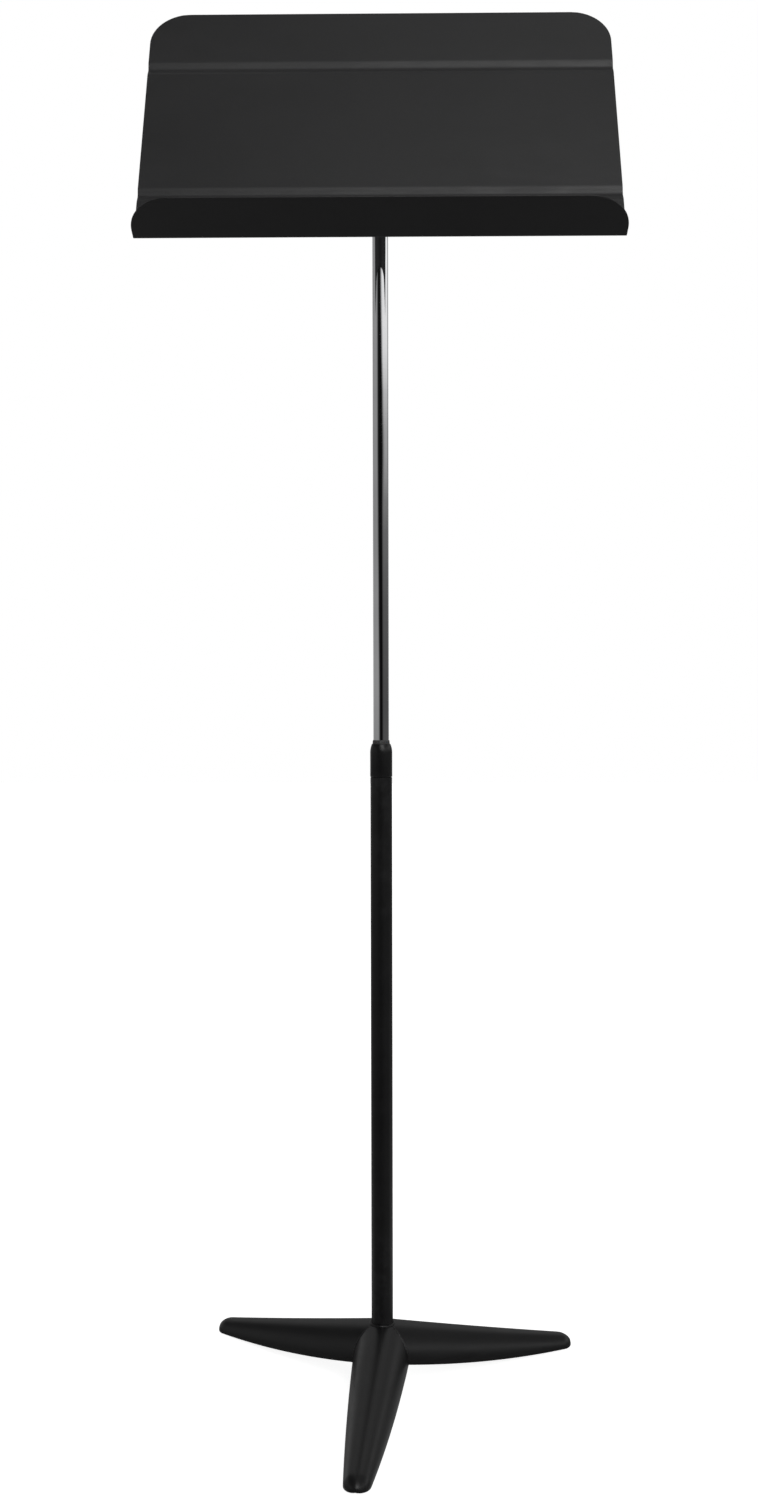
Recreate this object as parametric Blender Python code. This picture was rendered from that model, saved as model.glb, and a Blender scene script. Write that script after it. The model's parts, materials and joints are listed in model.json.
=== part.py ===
"""Orchestra music stand: a bent sheet desk on a friction tilt joint, a chrome shaft that slides and
swivels in a steel tube, and a base of three pressed-steel legs.

Metres, +Z up. The desk's width lies along X and its face looks towards -Y and up. The origin is on the
floor, under the middle of the stand's bounding box.
"""

import math

import bmesh
import bpy
from mathutils import Matrix, Vector

MM = 0.001

# Driving dimensions of the desk
DESK_WIDTH = 508.0 * MM
DESK_HEIGHT = 317.5 * MM
LEDGE_DEPTH = 59.2 * MM
SHEET = 1.6 * MM
LEAN = math.radians(24.8)
TOP_CORNER = 43.0 * MM
LEDGE_CORNER = 45.0 * MM
BEND_RADIUS = 4.6 * MM
RIB_HEIGHTS = (59.0 * MM, 237.0 * MM)
RIB_HALF_WIDTH = 10.0 * MM
RIB_DEPTH = 2.4 * MM

# Tilt joint: its axis crosses the shaft's axis behind the desk
PIVOT_HEIGHT = 1295.5 * MM
PIVOT_UP = 92.1 * MM
PIVOT_BEHIND = 23.5 * MM

# Column
SHAFT_RADIUS = 8.4 * MM
SHAFT_BORE = 6.8 * MM
SHAFT_BOTTOM = 652.0 * MM
SHAFT_BELOW_PIVOT = 16.3 * MM
TUBE_RADIUS = 11.75 * MM
TUBE_BORE = 10.0 * MM
TUBE_BOTTOM = 30.5 * MM
TUBE_TOP = 691.5 * MM
CAP_RADIUS = 11.95 * MM
CAP_LENGTH = 28.0 * MM
CAP_TOP = 699.6 * MM

# Base
LEG_REACH = 237.4 * MM
LEG_TURN = math.radians(-5.65)
LEG_STEEL = 2.0 * MM
LEG_NOSE = 14.0 * MM
LEG_NOSE_RISE = 2.0 * MM
LEG_STATIONS = (20.0 * MM, 110.0 * MM, 200.0 * MM)
LEG_HALF_WIDTHS = (30.5 * MM, 24.6 * MM, 16.3 * MM)
LEG_RIMS = (27.1 * MM, 11.9 * MM, 2.8 * MM)
LEG_CRESTS = (64.2 * MM, 42.1 * MM, 21.0 * MM)
FOOT_RADIUS = 10.5 * MM
FOOT_REACH = 208.0 * MM

# Clearance between pieces that touch on the real stand
GAP = 0.3 * MM
SEGMENTS = 30
SMALL_SEGMENTS = 18

LEG_NOSE_HALF_WIDTH = 13.0 * MM


def leg_span(turn):
    """How far a leg reaches along Y when it is turned away from Y by an angle."""
    nose = math.hypot(LEG_NOSE * math.cos(turn), LEG_NOSE_HALF_WIDTH * math.sin(turn))
    return (LEG_REACH - LEG_NOSE) * math.cos(turn) + nose


# The origin lies midway between the front leg's tip and the further rear leg's tip
SHAFT_Y = (leg_span(LEG_TURN) - leg_span(math.radians(60) - abs(LEG_TURN))) / 2


# Finishes ----------------------------------------------------------------------------------------


def finish(name, color, metallic, roughness):
    """A Principled material of one colour."""
    material = bpy.data.materials.new(name)
    material.use_nodes = True
    shader = material.node_tree.nodes["Principled BSDF"]
    shader.inputs["Base Color"].default_value = (*color, 1.0)
    shader.inputs["Metallic"].default_value = metallic
    shader.inputs["Roughness"].default_value = roughness
    return material


def clear_scene():
    for thing in list(bpy.data.objects):
        bpy.data.objects.remove(thing, do_unlink=True)


clear_scene()
DESK_BLACK = finish("desk_black", (0.028, 0.028, 0.030), 0.0, 0.55)
STEEL_BLACK = finish("steel_black", (0.012, 0.012, 0.013), 0.0, 0.45)
CHROME = finish("chrome", (0.75, 0.75, 0.76), 1.0, 0.08)
ZINC = finish("zinc", (0.45, 0.46, 0.47), 1.0, 0.35)
SPRING_STEEL = finish("spring_steel", (0.30, 0.30, 0.31), 1.0, 0.3)
NYLON_GREY = finish("nylon_grey", (0.09, 0.09, 0.092), 0.0, 0.5)
NYLON_WHITE = finish("nylon_white", (0.75, 0.74, 0.70), 0.0, 0.5)
FIBRE = finish("fibre", (0.10, 0.05, 0.04), 0.0, 0.8)
RUBBER = finish("rubber", (0.015, 0.015, 0.015), 0.0, 0.8)


# Modelling helpers -------------------------------------------------------------------------------


def frame(name, location=(0.0, 0.0, 0.0), rotation=(0.0, 0.0, 0.0), parent=None):
    """An empty that carries the pieces of one moving group or one leg."""
    empty = bpy.data.objects.new(name, None)
    bpy.context.collection.objects.link(empty)
    empty.location = location
    empty.rotation_euler = rotation
    empty.parent = parent
    return empty


def place(bm, name, material, parent, location=(0.0, 0.0, 0.0), sharp=35.0):
    """Turns a bmesh into a named object with its faces pointing out and its round parts smooth."""
    bmesh.ops.recalc_face_normals(bm, faces=bm.faces)
    mesh = bpy.data.meshes.new(name)
    bm.to_mesh(mesh)
    bm.free()
    mesh.shade_smooth()
    mesh.set_sharp_from_angle(angle=math.radians(sharp))
    mesh.materials.append(material)
    piece = bpy.data.objects.new(name, mesh)
    bpy.context.collection.objects.link(piece)
    piece.location = location
    piece.parent = parent
    return piece


def ring_radius(size, sides, angle):
    """Distance to a circle, or to the flats of a polygon whose half width across flats is size."""
    if not sides:
        return size
    step = math.tau / sides
    return size / math.cos((angle % step) - step / 2)


def turned_bmesh(sections, hollow=False, segments=SEGMENTS):
    """Rings of (radius, height) or (half width across flats, height, sides), joined in order.

    A solid piece is capped at both ends. A hollow one runs up its outside and down its bore, and its
    last ring joins its first.
    """
    bm = bmesh.new()
    rings = []
    for section in sections:
        size, height = section[:2]
        sides = section[2] if len(section) == 3 else 0
        ring = []
        for index in range(segments):
            angle = math.tau * index / segments
            radius = ring_radius(size, sides, angle)
            ring.append(bm.verts.new((radius * math.cos(angle), radius * math.sin(angle), height)))
        rings.append(ring)
    following = rings[1:] + rings[:1] if hollow else rings[1:]
    for lower, upper in zip(rings, following):
        for index in range(segments):
            after = (index + 1) % segments
            bm.faces.new((lower[index], lower[after], upper[after], upper[index]))
    if not hollow:
        bm.faces.new(rings[0])
        bm.faces.new(rings[-1])
    return bm


def turned(name, sections, material, parent, hollow=False, segments=SEGMENTS, location=(0, 0, 0),
           along="Z"):
    """A turned piece whose axis lies along Z, or along X or Y."""
    bm = turned_bmesh(sections, hollow, segments)
    turns = {"X": Matrix.Rotation(math.pi / 2, 4, "Y"), "Y": Matrix.Rotation(-math.pi / 2, 4, "X")}
    if along in turns:
        bm.transform(turns[along])
    return place(bm, name, material, parent, location)


def prism(name, outline, low, high, material, parent, along="Z", location=(0, 0, 0)):
    """An outline extruded from low to high. Along X the outline's points are (y, z)."""
    bm = bmesh.new()
    if along == "X":
        corners = [(low, a, b) for a, b in outline]
        push = Vector((high - low, 0, 0))
    else:
        corners = [(a, b, low) for a, b in outline]
        push = Vector((0, 0, high - low))
    base = bm.faces.new([bm.verts.new(corner) for corner in corners])
    swept = bmesh.ops.extrude_face_region(bm, geom=[base])
    moved = [item for item in swept["geom"] if isinstance(item, bmesh.types.BMVert)]
    bmesh.ops.translate(bm, verts=moved, vec=push)
    return place(bm, name, material, parent, location)


def as_cutter(piece):
    piece.hide_render = True
    piece.display_type = "WIRE"
    return piece


def boolean(piece, cutter, operation="DIFFERENCE"):
    modifier = piece.modifiers.new(operation.lower(), "BOOLEAN")
    modifier.operation = operation
    modifier.solver = "EXACT"
    modifier.object = as_cutter(cutter)


def arc(centre, radius, start, end, steps):
    """Points on a circle, from one angle in degrees to another, as pairs."""
    points = []
    for index in range(steps + 1):
        angle = math.radians(start + (end - start) * index / steps)
        points.append((centre[0] + radius * math.cos(angle), centre[1] + radius * math.sin(angle)))
    return points


def through(stations, values, at):
    """The parabola through three (station, value) pairs."""
    total = 0.0
    for i, (station, value) in enumerate(zip(stations, values)):
        weight = 1.0
        for j, other in enumerate(stations):
            if j != i:
                weight *= (at - other) / (station - other)
        total += weight * value
    return total


# Base --------------------------------------------------------------------------------------------

LEG_RUN_STATIONS = 9
LEG_NOSE_STATIONS = 6
LEG_SECTION_STEPS = 14
LEG_START = -4.0 * MM
LEG_NOSE_FULLNESS = 0.68
MITRE_GAP = 0.15 * MM
MITRE_REACH = 60.0 * MM


def leg_sections(inset):
    """Half-round sections (reach, half width, rim, crest) of a leg's skin, inset by the steel."""
    reach = LEG_REACH - inset
    straight = reach - (LEG_NOSE - inset)
    stations = [LEG_START + (straight - LEG_START) * i / LEG_RUN_STATIONS
                for i in range(LEG_RUN_STATIONS)]
    for i in range(LEG_NOSE_STATIONS + 1):
        stations.append(straight + (reach - straight) * math.sin(math.pi / 2 * i / LEG_NOSE_STATIONS))
    sections = []
    for station in stations:
        along_nose = max(0.0, (station - straight) / (reach - straight))
        nose = math.sqrt(max(0.0, 1.0 - along_nose ** 2))
        half_width = (through(LEG_STATIONS, LEG_HALF_WIDTHS, station) - inset) * nose
        rim = through(LEG_STATIONS, LEG_RIMS, station)
        height = through(LEG_STATIONS, LEG_CRESTS, station) - inset - rim
        rise = LEG_NOSE_RISE * (1.0 - nose)
        sections.append((station, half_width, rim + rise,
                         rim + rise + (height - rise) * nose ** LEG_NOSE_FULLNESS))
    return sections


def leg_skin(bm, inset):
    """Rows of vertices across a leg, rim to rim over the crest; the last row is the tip's point."""
    rows = []
    for station, half_width, rim, crest in leg_sections(inset):
        if half_width < 1e-6:
            rows.append([bm.verts.new((station, 0.0, rim))] * (LEG_SECTION_STEPS + 1))
            continue
        row = []
        for index in range(LEG_SECTION_STEPS + 1):
            angle = math.pi * index / LEG_SECTION_STEPS
            row.append(bm.verts.new((station, half_width * math.cos(angle),
                                     rim + (crest - rim) * math.sin(angle))))
        rows.append(row)
    return rows


def face(bm, *corners):
    """A face on the corners given, without the repeats that a row's shared tip brings."""
    unique = list(dict.fromkeys(corners))
    if len(unique) > 2:
        bm.faces.new(unique)


def leg_shell():
    """A pressed leg, open underneath, along +X from the hub to its rounded tip."""
    bm = bmesh.new()
    outer, inner = leg_skin(bm, 0.0), leg_skin(bm, LEG_STEEL)
    last = LEG_SECTION_STEPS
    for near in range(len(outer) - 1):
        far = near + 1
        for skin in (outer, inner):
            for k in range(last):
                face(bm, skin[near][k], skin[near][k + 1], skin[far][k + 1], skin[far][k])
        for k in (0, last):
            face(bm, outer[near][k], outer[far][k], inner[far][k], inner[near][k])
    for k in range(last):
        face(bm, outer[0][k], outer[0][k + 1], inner[0][k + 1], inner[0][k])
    return bm


def mitre_outline():
    """Plan of one leg's third of the hub: a wedge of 60 degrees either side of the leg."""
    apex = MITRE_GAP / math.sin(math.radians(60))
    x, y = apex + MITRE_REACH * math.cos(math.radians(60)), MITRE_REACH * math.sin(math.radians(60))
    far = LEG_REACH + MITRE_REACH
    return [(apex, 0.0), (x, -y), (far, -y), (far, y), (x, y)]


def build_leg(side, turn, base):
    """One leg, with the rubber foot, tab and rivet inside its tip."""
    leg_frame = frame(f"leg_frame_{side}", rotation=(0, 0, turn), parent=base)
    leg = place(leg_shell(), f"leg_{side}", STEEL_BLACK, leg_frame, sharp=50.0)
    below, above = -20.0 * MM, 120.0 * MM
    mitre = prism(f"mitre_{side}", mitre_outline(), below, above, STEEL_BLACK, leg_frame)
    boolean(leg, mitre, "INTERSECT")
    socket_hole = TUBE_RADIUS + GAP
    hole = turned(f"tube_hole_{side}", [(socket_hole, below), (socket_hole, above)], STEEL_BLACK,
                  leg_frame)
    boolean(leg, hole)
    build_foot(side, leg_frame)


FOOT_TOP = 9.5 * MM
FOOT_RECESS = 5.0 * MM
FOOT_RECESS_DEPTH = 4.5 * MM
FOOT_RIVET = 2.4 * MM
TAB_STEEL = 2.0 * MM


def build_foot(side, leg_frame):
    spot = (FOOT_REACH, 0.0, 0.0)
    hole = FOOT_RIVET + GAP
    chamfer = 1.0 * MM
    turned(f"foot_pad_{side}", [
        (FOOT_RADIUS - chamfer, 0.0), (FOOT_RADIUS, chamfer), (FOOT_RADIUS, FOOT_TOP - chamfer),
        (FOOT_RADIUS - chamfer, FOOT_TOP), (hole, FOOT_TOP), (hole, FOOT_RECESS_DEPTH),
        (FOOT_RECESS, FOOT_RECESS_DEPTH), (FOOT_RECESS, 0.0),
    ], RUBBER, leg_frame, hollow=True, segments=SMALL_SEGMENTS, location=spot)
    tab_low = FOOT_TOP + GAP
    tab_half = 6.5 * MM
    tab_outline = [(-tab_half, -tab_half), (tab_half, -tab_half), (tab_half, tab_half),
                   (-tab_half, tab_half)]
    tab = prism(f"foot_tab_{side}", tab_outline, tab_low, tab_low + TAB_STEEL, ZINC, leg_frame,
                location=spot)
    drill = turned(f"tab_hole_{side}", [(hole, 0.0), (hole, 2 * FOOT_TOP)], ZINC, leg_frame,
                   segments=SMALL_SEGMENTS, location=spot)
    boolean(tab, drill)
    head_top = FOOT_RECESS_DEPTH - GAP
    head_bottom = head_top - 1.2 * MM
    head_radius = 4.5 * MM
    upset_low = tab_low + TAB_STEEL + GAP
    turned(f"foot_rivet_{side}", [
        (head_radius - 1.0 * MM, head_bottom), (head_radius, head_bottom + 0.7 * MM),
        (head_radius, head_top), (FOOT_RIVET, head_top), (FOOT_RIVET, upset_low),
        (1.6 * FOOT_RIVET, upset_low), (FOOT_RIVET, upset_low + 1.3 * MM),
    ], ZINC, leg_frame, segments=SMALL_SEGMENTS, location=spot)


HUB_PLATE_RADIUS = 29.0 * MM
HUB_PLATE_STEEL = 2.5 * MM
SOCKET_RADIUS = 14.5 * MM
SOCKET_TOP = 56.5 * MM
BASE_BOLT = 3.0 * MM


def build_hub(base):
    """The plate and socket inside the legs' mitre, and the bolt that holds the tube down."""
    plate_top = TUBE_BOTTOM - GAP
    plate_low = plate_top - HUB_PLATE_STEEL
    hole = BASE_BOLT + GAP
    turned("hub_plate", [(HUB_PLATE_RADIUS, plate_low), (HUB_PLATE_RADIUS, plate_top),
                         (hole, plate_top), (hole, plate_low)], ZINC, base, hollow=True)
    bore = TUBE_RADIUS + GAP
    turned("hub_socket", [(SOCKET_RADIUS, TUBE_BOTTOM), (SOCKET_RADIUS, SOCKET_TOP - 1.0 * MM),
                          (SOCKET_RADIUS - 1.0 * MM, SOCKET_TOP), (bore, SOCKET_TOP),
                          (bore, TUBE_BOTTOM)], ZINC, base, hollow=True)
    plug = TUBE_BORE - GAP
    plug_top = 54.5 * MM
    turned("tube_plug", [(plug, TUBE_BOTTOM), (plug, plug_top - 1.0 * MM), (plug - 1.0 * MM, plug_top),
                         (hole, plug_top), (hole, TUBE_BOTTOM)], ZINC, base, hollow=True)
    washer_top = plate_low - GAP
    washer_low = washer_top - 1.6 * MM
    washer_radius = 9.0 * MM
    turned("base_washer", [(washer_radius, washer_low), (washer_radius, washer_top),
                           (hole, washer_top), (hole, washer_low)], ZINC, base, hollow=True)
    hex_bolt("base_bolt", base, head_half=5.0 * MM, head_height=4.0 * MM, shank=BASE_BOLT,
             seat=washer_low - GAP, tip=plug_top - 3.0 * MM)


def hex_bolt(name, parent, head_half, head_height, shank, seat, tip, along="Z", location=(0, 0, 0)):
    """A hexagon-head bolt whose head ends at seat and whose shank ends at tip."""
    chamfer = 0.6 * MM
    bottom = seat - head_height
    turned(name, [
        (head_half - 0.2 * MM, bottom), (head_half, bottom + chamfer, 6), (head_half, seat, 6),
        (shank, seat), (shank, tip - chamfer), (shank - chamfer, tip),
    ], ZINC, parent, segments=SMALL_SEGMENTS, along=along, location=location)


# Column ------------------------------------------------------------------------------------------

CAP_SKIRT = 0.5 * MM
BUSH_BOTTOM = 672.0 * MM
BUSH_LIP_TOP = 703.7 * MM
BUSH_LIP_RADIUS = 9.3 * MM
CAP_MOUTH = 9.6 * MM


def build_tube(base):
    """The outer tube, the cap pressed over its top end and the nylon bushing inside the cap."""
    neck = CAP_RADIUS - CAP_SKIRT - GAP
    step = TUBE_TOP - CAP_LENGTH
    turned("outer_tube", [(TUBE_RADIUS, TUBE_BOTTOM), (TUBE_RADIUS, step), (neck, step + GAP),
                          (neck, TUBE_TOP), (TUBE_BORE, TUBE_TOP), (TUBE_BORE, TUBE_BOTTOM)],
           STEEL_BLACK, base, hollow=True)
    skirt = CAP_RADIUS - CAP_SKIRT
    shoulder = TUBE_TOP + 0.5 * MM
    mouth_edge = CAP_MOUTH + 0.4 * MM
    turned("tube_cap", [
        (skirt, step + 2 * GAP), (CAP_RADIUS, step + 1.0 * MM), (CAP_RADIUS, shoulder),
        (CAP_RADIUS - 0.35 * MM, shoulder + 2.0 * MM), (CAP_RADIUS - 0.9 * MM, shoulder + 4.3 * MM),
        (CAP_RADIUS - 1.5 * MM, shoulder + 6.3 * MM), (mouth_edge, CAP_TOP), (CAP_MOUTH, CAP_TOP),
        (CAP_MOUTH, TUBE_TOP + GAP), (skirt, TUBE_TOP + GAP),
    ], STEEL_BLACK, base, hollow=True)
    outside, bore = TUBE_BORE - GAP, SHAFT_RADIUS + GAP
    turned("guide_bushing", [
        (outside, BUSH_BOTTOM), (outside, TUBE_TOP), (BUSH_LIP_RADIUS, TUBE_TOP),
        (BUSH_LIP_RADIUS, BUSH_LIP_TOP - 3.0 * MM), (bore + 0.2 * MM, BUSH_LIP_TOP),
        (bore, BUSH_LIP_TOP), (bore, BUSH_BOTTOM),
    ], NYLON_GREY, base, hollow=True)


CLUTCH_RADIUS = TUBE_BORE - GAP
CLUTCH_BOLT = 2.5 * MM
END_PLUG_FLANGE = 3.0 * MM
SLEEVE_LENGTH = 30.0 * MM
FINGER_LENGTH = 20.0 * MM
SLOT_WIDTH = 1.5 * MM
SLOT_BLADES = 3
SPRING_TURNS = 5
SPRING_WIRE = 0.6 * MM
SPRING_RADIUS = 4.6 * MM
SPRING_LENGTH = 12.0 * MM


def coil(name, radius, wire, turns, low, high, material, parent):
    """A compression spring: a round wire swept along a helix, capped at both ends."""
    per_turn, sides = 12, 5
    steps = per_turn * turns
    bm = bmesh.new()
    rings = []
    for index in range(steps + 1):
        angle = math.tau * index / per_turn
        height = low + wire + (high - low - 2 * wire) * index / steps
        ring = []
        for side in range(sides):
            around = math.tau * side / sides
            reach = radius + wire * math.cos(around)
            ring.append(bm.verts.new((reach * math.cos(angle), reach * math.sin(angle),
                                      height + wire * math.sin(around))))
        rings.append(ring)
    for near, far in zip(rings, rings[1:]):
        for side in range(sides):
            after = (side + 1) % sides
            bm.faces.new((near[side], near[after], far[after], far[side]))
    bm.faces.new(rings[0])
    bm.faces.new(rings[-1])
    return place(bm, name, material, parent)


def build_clutch(clutch):
    """The slotted sleeve, cone, spring and washer that grip the tube's bore. Heights are from the
    shaft's bottom end down."""
    sleeve_top = -END_PLUG_FLANGE - 2 * GAP
    sleeve_low = sleeve_top - SLEEVE_LENGTH
    finger_root = sleeve_low + FINGER_LENGTH
    bolt_hole = CLUTCH_BOLT + GAP
    collar_bore, mouth_bore = 5.0 * MM, 7.4 * MM
    sleeve = turned("clutch_sleeve", [
        (CLUTCH_RADIUS - 0.6 * MM, sleeve_low), (CLUTCH_RADIUS, sleeve_low + 1.0 * MM),
        (CLUTCH_RADIUS, sleeve_top - 1.0 * MM), (CLUTCH_RADIUS - 0.8 * MM, sleeve_top),
        (bolt_hole, sleeve_top), (bolt_hole, finger_root), (collar_bore, finger_root),
        (mouth_bore, sleeve_low),
    ], NYLON_WHITE, clutch, hollow=True)
    half, reach = SLOT_WIDTH / 2, 2 * CLUTCH_RADIUS
    blade = [(-reach, -half), (reach, -half), (reach, half), (-reach, half)]
    for index in range(SLOT_BLADES):
        cutter = prism(f"slot_{index}", blade, sleeve_low - 5.0 * MM, finger_root - 1.5 * MM,
                       NYLON_WHITE, clutch)
        cutter.rotation_euler = (0, 0, math.pi * (index + 0.25) / SLOT_BLADES)
        boolean(sleeve, cutter)
    cone_low, cone_top = sleeve_low - 6.0 * MM, finger_root - 1.0 * MM
    turned("clutch_cone", [
        (mouth_bore - 2 * GAP, cone_low), (mouth_bore - 2 * GAP, sleeve_low),
        (collar_bore - GAP, cone_top), (bolt_hole, cone_top), (bolt_hole, cone_low),
    ], ZINC, clutch, hollow=True)
    spring_top = cone_low - GAP
    spring_low = spring_top - SPRING_LENGTH
    coil("clutch_spring", SPRING_RADIUS, SPRING_WIRE, SPRING_TURNS, spring_low, spring_top,
         SPRING_STEEL, clutch)
    washer_top = spring_low - GAP
    washer_low = washer_top - 1.2 * MM
    washer_radius = 6.5 * MM
    turned("clutch_washer", [(washer_radius, washer_low), (washer_radius, washer_top),
                             (bolt_hole, washer_top), (bolt_hole, washer_low)], ZINC, clutch,
           hollow=True, segments=SMALL_SEGMENTS)
    return washer_low


def build_shaft(shaft, clutch_low):
    """The chrome shaft, its threaded end plug and the long bolt that carries the clutch."""
    top = PIVOT_HEIGHT - SHAFT_BELOW_PIVOT - SHAFT_BOTTOM
    tube = turned("inner_shaft", [(SHAFT_RADIUS, 0.0), (SHAFT_RADIUS, top), (SHAFT_BORE, top),
                                  (SHAFT_BORE, 0.0)], CHROME, shaft, hollow=True, segments=36)
    drill_height = top - PIN_BELOW_TOP
    pin_hole = turned("shaft_pin_hole", [(PIN_RADIUS + GAP, -2 * SHAFT_RADIUS),
                                         (PIN_RADIUS + GAP, 2 * SHAFT_RADIUS)], CHROME, shaft,
                      segments=SMALL_SEGMENTS, along="Y", location=(0, 0, drill_height))
    boolean(tube, pin_hole)
    plug, thread = SHAFT_BORE - GAP, CLUTCH_BOLT + GAP
    flange = SHAFT_RADIUS - 0.2 * MM
    turned("shaft_end_plug", [
        (flange, -END_PLUG_FLANGE - GAP), (flange, -GAP), (plug, -GAP), (plug, 19.0 * MM),
        (plug - 1.0 * MM, 20.0 * MM), (thread, 20.0 * MM), (thread, -END_PLUG_FLANGE - GAP),
    ], ZINC, shaft, hollow=True)
    hex_bolt("clutch_bolt", shaft, head_half=4.0 * MM, head_height=3.5 * MM, shank=CLUTCH_BOLT,
             seat=clutch_low - GAP, tip=16.0 * MM)


# Tilt joint --------------------------------------------------------------------------------------

PIN_RADIUS = 1.5 * MM
PIN_BELOW_TOP = 14.0 * MM
HEAD_HALF = 7.0 * MM
HEAD_CROWN = 12.0 * MM
HEAD_FOOT = 8.0 * MM
WASHER_FIBRE = 2.0 * MM
BRACKET_STEEL = 2.8 * MM
PIVOT_BOLT = 4.0 * MM
EAR_CROWN = 13.0 * MM


def build_head(shaft):
    """The tongue that stands on the shaft and the pin through its plug. The origin is the pivot."""
    pivot = (0.0, 0.0, PIVOT_HEIGHT - SHAFT_BOTTOM)
    foot = GAP - SHAFT_BELOW_PIVOT
    outline = [(-HEAD_FOOT, foot), (HEAD_FOOT, foot)] + arc((0, 0), HEAD_CROWN, -20, 200, 20)
    head = prism("tilt_head", outline, -HEAD_HALF, HEAD_HALF, STEEL_BLACK, shaft, "X", pivot)
    plug = SHAFT_BORE - GAP
    plug_low = -SHAFT_BELOW_PIVOT - 28.0 * MM
    core = turned("head_plug", [(plug - 1.0 * MM, plug_low), (plug, plug_low + 1.0 * MM),
                                (plug, foot + 2.0 * MM)], STEEL_BLACK, shaft, location=pivot)
    boolean(head, core, "UNION")
    bolt_hole, reach = PIVOT_BOLT + GAP, 2 * HEAD_HALF
    boolean(head, turned("head_bolt_hole", [(bolt_hole, -reach), (bolt_hole, reach)], STEEL_BLACK,
                         shaft, segments=SMALL_SEGMENTS, along="X", location=pivot))
    pin_spot = (0.0, 0.0, pivot[2] - SHAFT_BELOW_PIVOT - PIN_BELOW_TOP)
    boolean(head, turned("head_pin_hole", [(PIN_RADIUS + GAP, -reach), (PIN_RADIUS + GAP, reach)],
                         STEEL_BLACK, shaft, segments=SMALL_SEGMENTS, along="Y", location=pin_spot))
    end, chamfer = SHAFT_RADIUS - 0.2 * MM, 0.4 * MM
    turned("head_pin", [(PIN_RADIUS - chamfer, -end), (PIN_RADIUS, chamfer - end),
                        (PIN_RADIUS, end - chamfer), (PIN_RADIUS - chamfer, end)], ZINC, shaft,
           segments=SMALL_SEGMENTS, along="Y", location=pin_spot)


PLATE_HALF_WIDTH = 33.0 * MM
PLATE_LOW = -19.5 * MM
PLATE_HIGH = 38.0 * MM
PLATE_CORNER = 6.0 * MM
EAR_HALF_HEIGHT = 17.0 * MM
RIVET_RADIUS = 2.4 * MM
RIVET_SINK = 1.1 * MM
RIVET_ACROSS = 24.0 * MM
RIVET_ROWS = (-12.0 * MM, 30.0 * MM)


def rounded_rectangle(low_x, high_x, low_y, high_y, radius, steps=5):
    outline = arc((high_x - radius, low_y + radius), radius, -90, 0, steps)
    outline += arc((high_x - radius, high_y - radius), radius, 0, 90, steps)
    outline += arc((low_x + radius, high_y - radius), radius, 90, 180, steps)
    outline += arc((low_x + radius, low_y + radius), radius, 180, 270, steps)
    return outline


def rivet_spots():
    return [(side * RIVET_ACROSS, row) for row in RIVET_ROWS for side in (-1, 1)]


def drill_rivets(piece, desk, label, countersunk=False):
    """Four holes through a sheet of the desk, one for each rivet, countersunk in the desk's face."""
    hole, reach = RIVET_RADIUS + GAP, 8.0 * MM
    sections = [(hole, -reach), (hole, reach)]
    if countersunk:
        wide = hole + RIVET_SINK + reach - SHEET
        sections = [(wide, -reach), (hole, RIVET_SINK - SHEET), (hole, reach)]
    for index, (x, z) in enumerate(rivet_spots()):
        boolean(piece, turned(f"{label}_rivet_hole_{index}", sections, ZINC, desk,
                              segments=SMALL_SEGMENTS, along="Y", location=(x, -PIVOT_BEHIND, z)))


def build_bracket(desk):
    """The bracket: a plate on the desk's back with two ears that hold the pivot bolt."""
    plate_near, plate_far = GAP - PIVOT_BEHIND, GAP - PIVOT_BEHIND + BRACKET_STEEL
    outline = rounded_rectangle(-PLATE_HALF_WIDTH, PLATE_HALF_WIDTH, -PLATE_HIGH, -PLATE_LOW,
                                PLATE_CORNER)
    plate = prism("tilt_bracket", outline, plate_near, plate_far, STEEL_BLACK, desk)
    plate.data.transform(Matrix.Rotation(-math.pi / 2, 4, "X"))
    root = plate_near + BRACKET_STEEL / 2
    ear_outline = [(root, -EAR_HALF_HEIGHT)] + arc((0, 0), EAR_CROWN, -70, 70, 12)
    ear_outline += [(root, EAR_HALF_HEIGHT)]
    ear_near = HEAD_HALF + WASHER_FIBRE + 2 * GAP
    for side, label in ((-1, "left"), (1, "right")):
        low, high = sorted((side * ear_near, side * (ear_near + BRACKET_STEEL)))
        boolean(plate, prism(f"ear_{label}", ear_outline, low, high, STEEL_BLACK, desk, "X"), "UNION")
    hole, reach = PIVOT_BOLT + GAP, 2 * ear_near
    boolean(plate, turned("ear_holes", [(hole, -reach), (hole, reach)], STEEL_BLACK, desk,
                          segments=SMALL_SEGMENTS, along="X"))
    drill_rivets(plate, desk, "bracket")


def build_rivets(desk):
    """Rivets with a countersunk head just below the desk's face and an upset head on the bracket."""
    back = GAP - PIVOT_BEHIND + BRACKET_STEEL + GAP
    front = -PIVOT_BEHIND - SHEET + 0.1 * MM
    back_head = 4.0 * MM
    for index, (x, z) in enumerate(rivet_spots()):
        turned(f"bracket_rivet_{index + 1}", [
            (RIVET_RADIUS + RIVET_SINK, front), (RIVET_RADIUS, front + RIVET_SINK),
            (RIVET_RADIUS, back), (back_head, back), (back_head - 0.5 * MM, back + 1.0 * MM),
            (back_head - 1.8 * MM, back + 1.7 * MM),
        ], STEEL_BLACK, desk, segments=SMALL_SEGMENTS, along="Y", location=(x, 0.0, z))


def flat_ring(name, inner, outer, low, high, material, parent):
    turned(name, [(outer, low), (outer, high), (inner, high), (inner, low)], material, parent,
           hollow=True, segments=SMALL_SEGMENTS, along="X")


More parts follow.
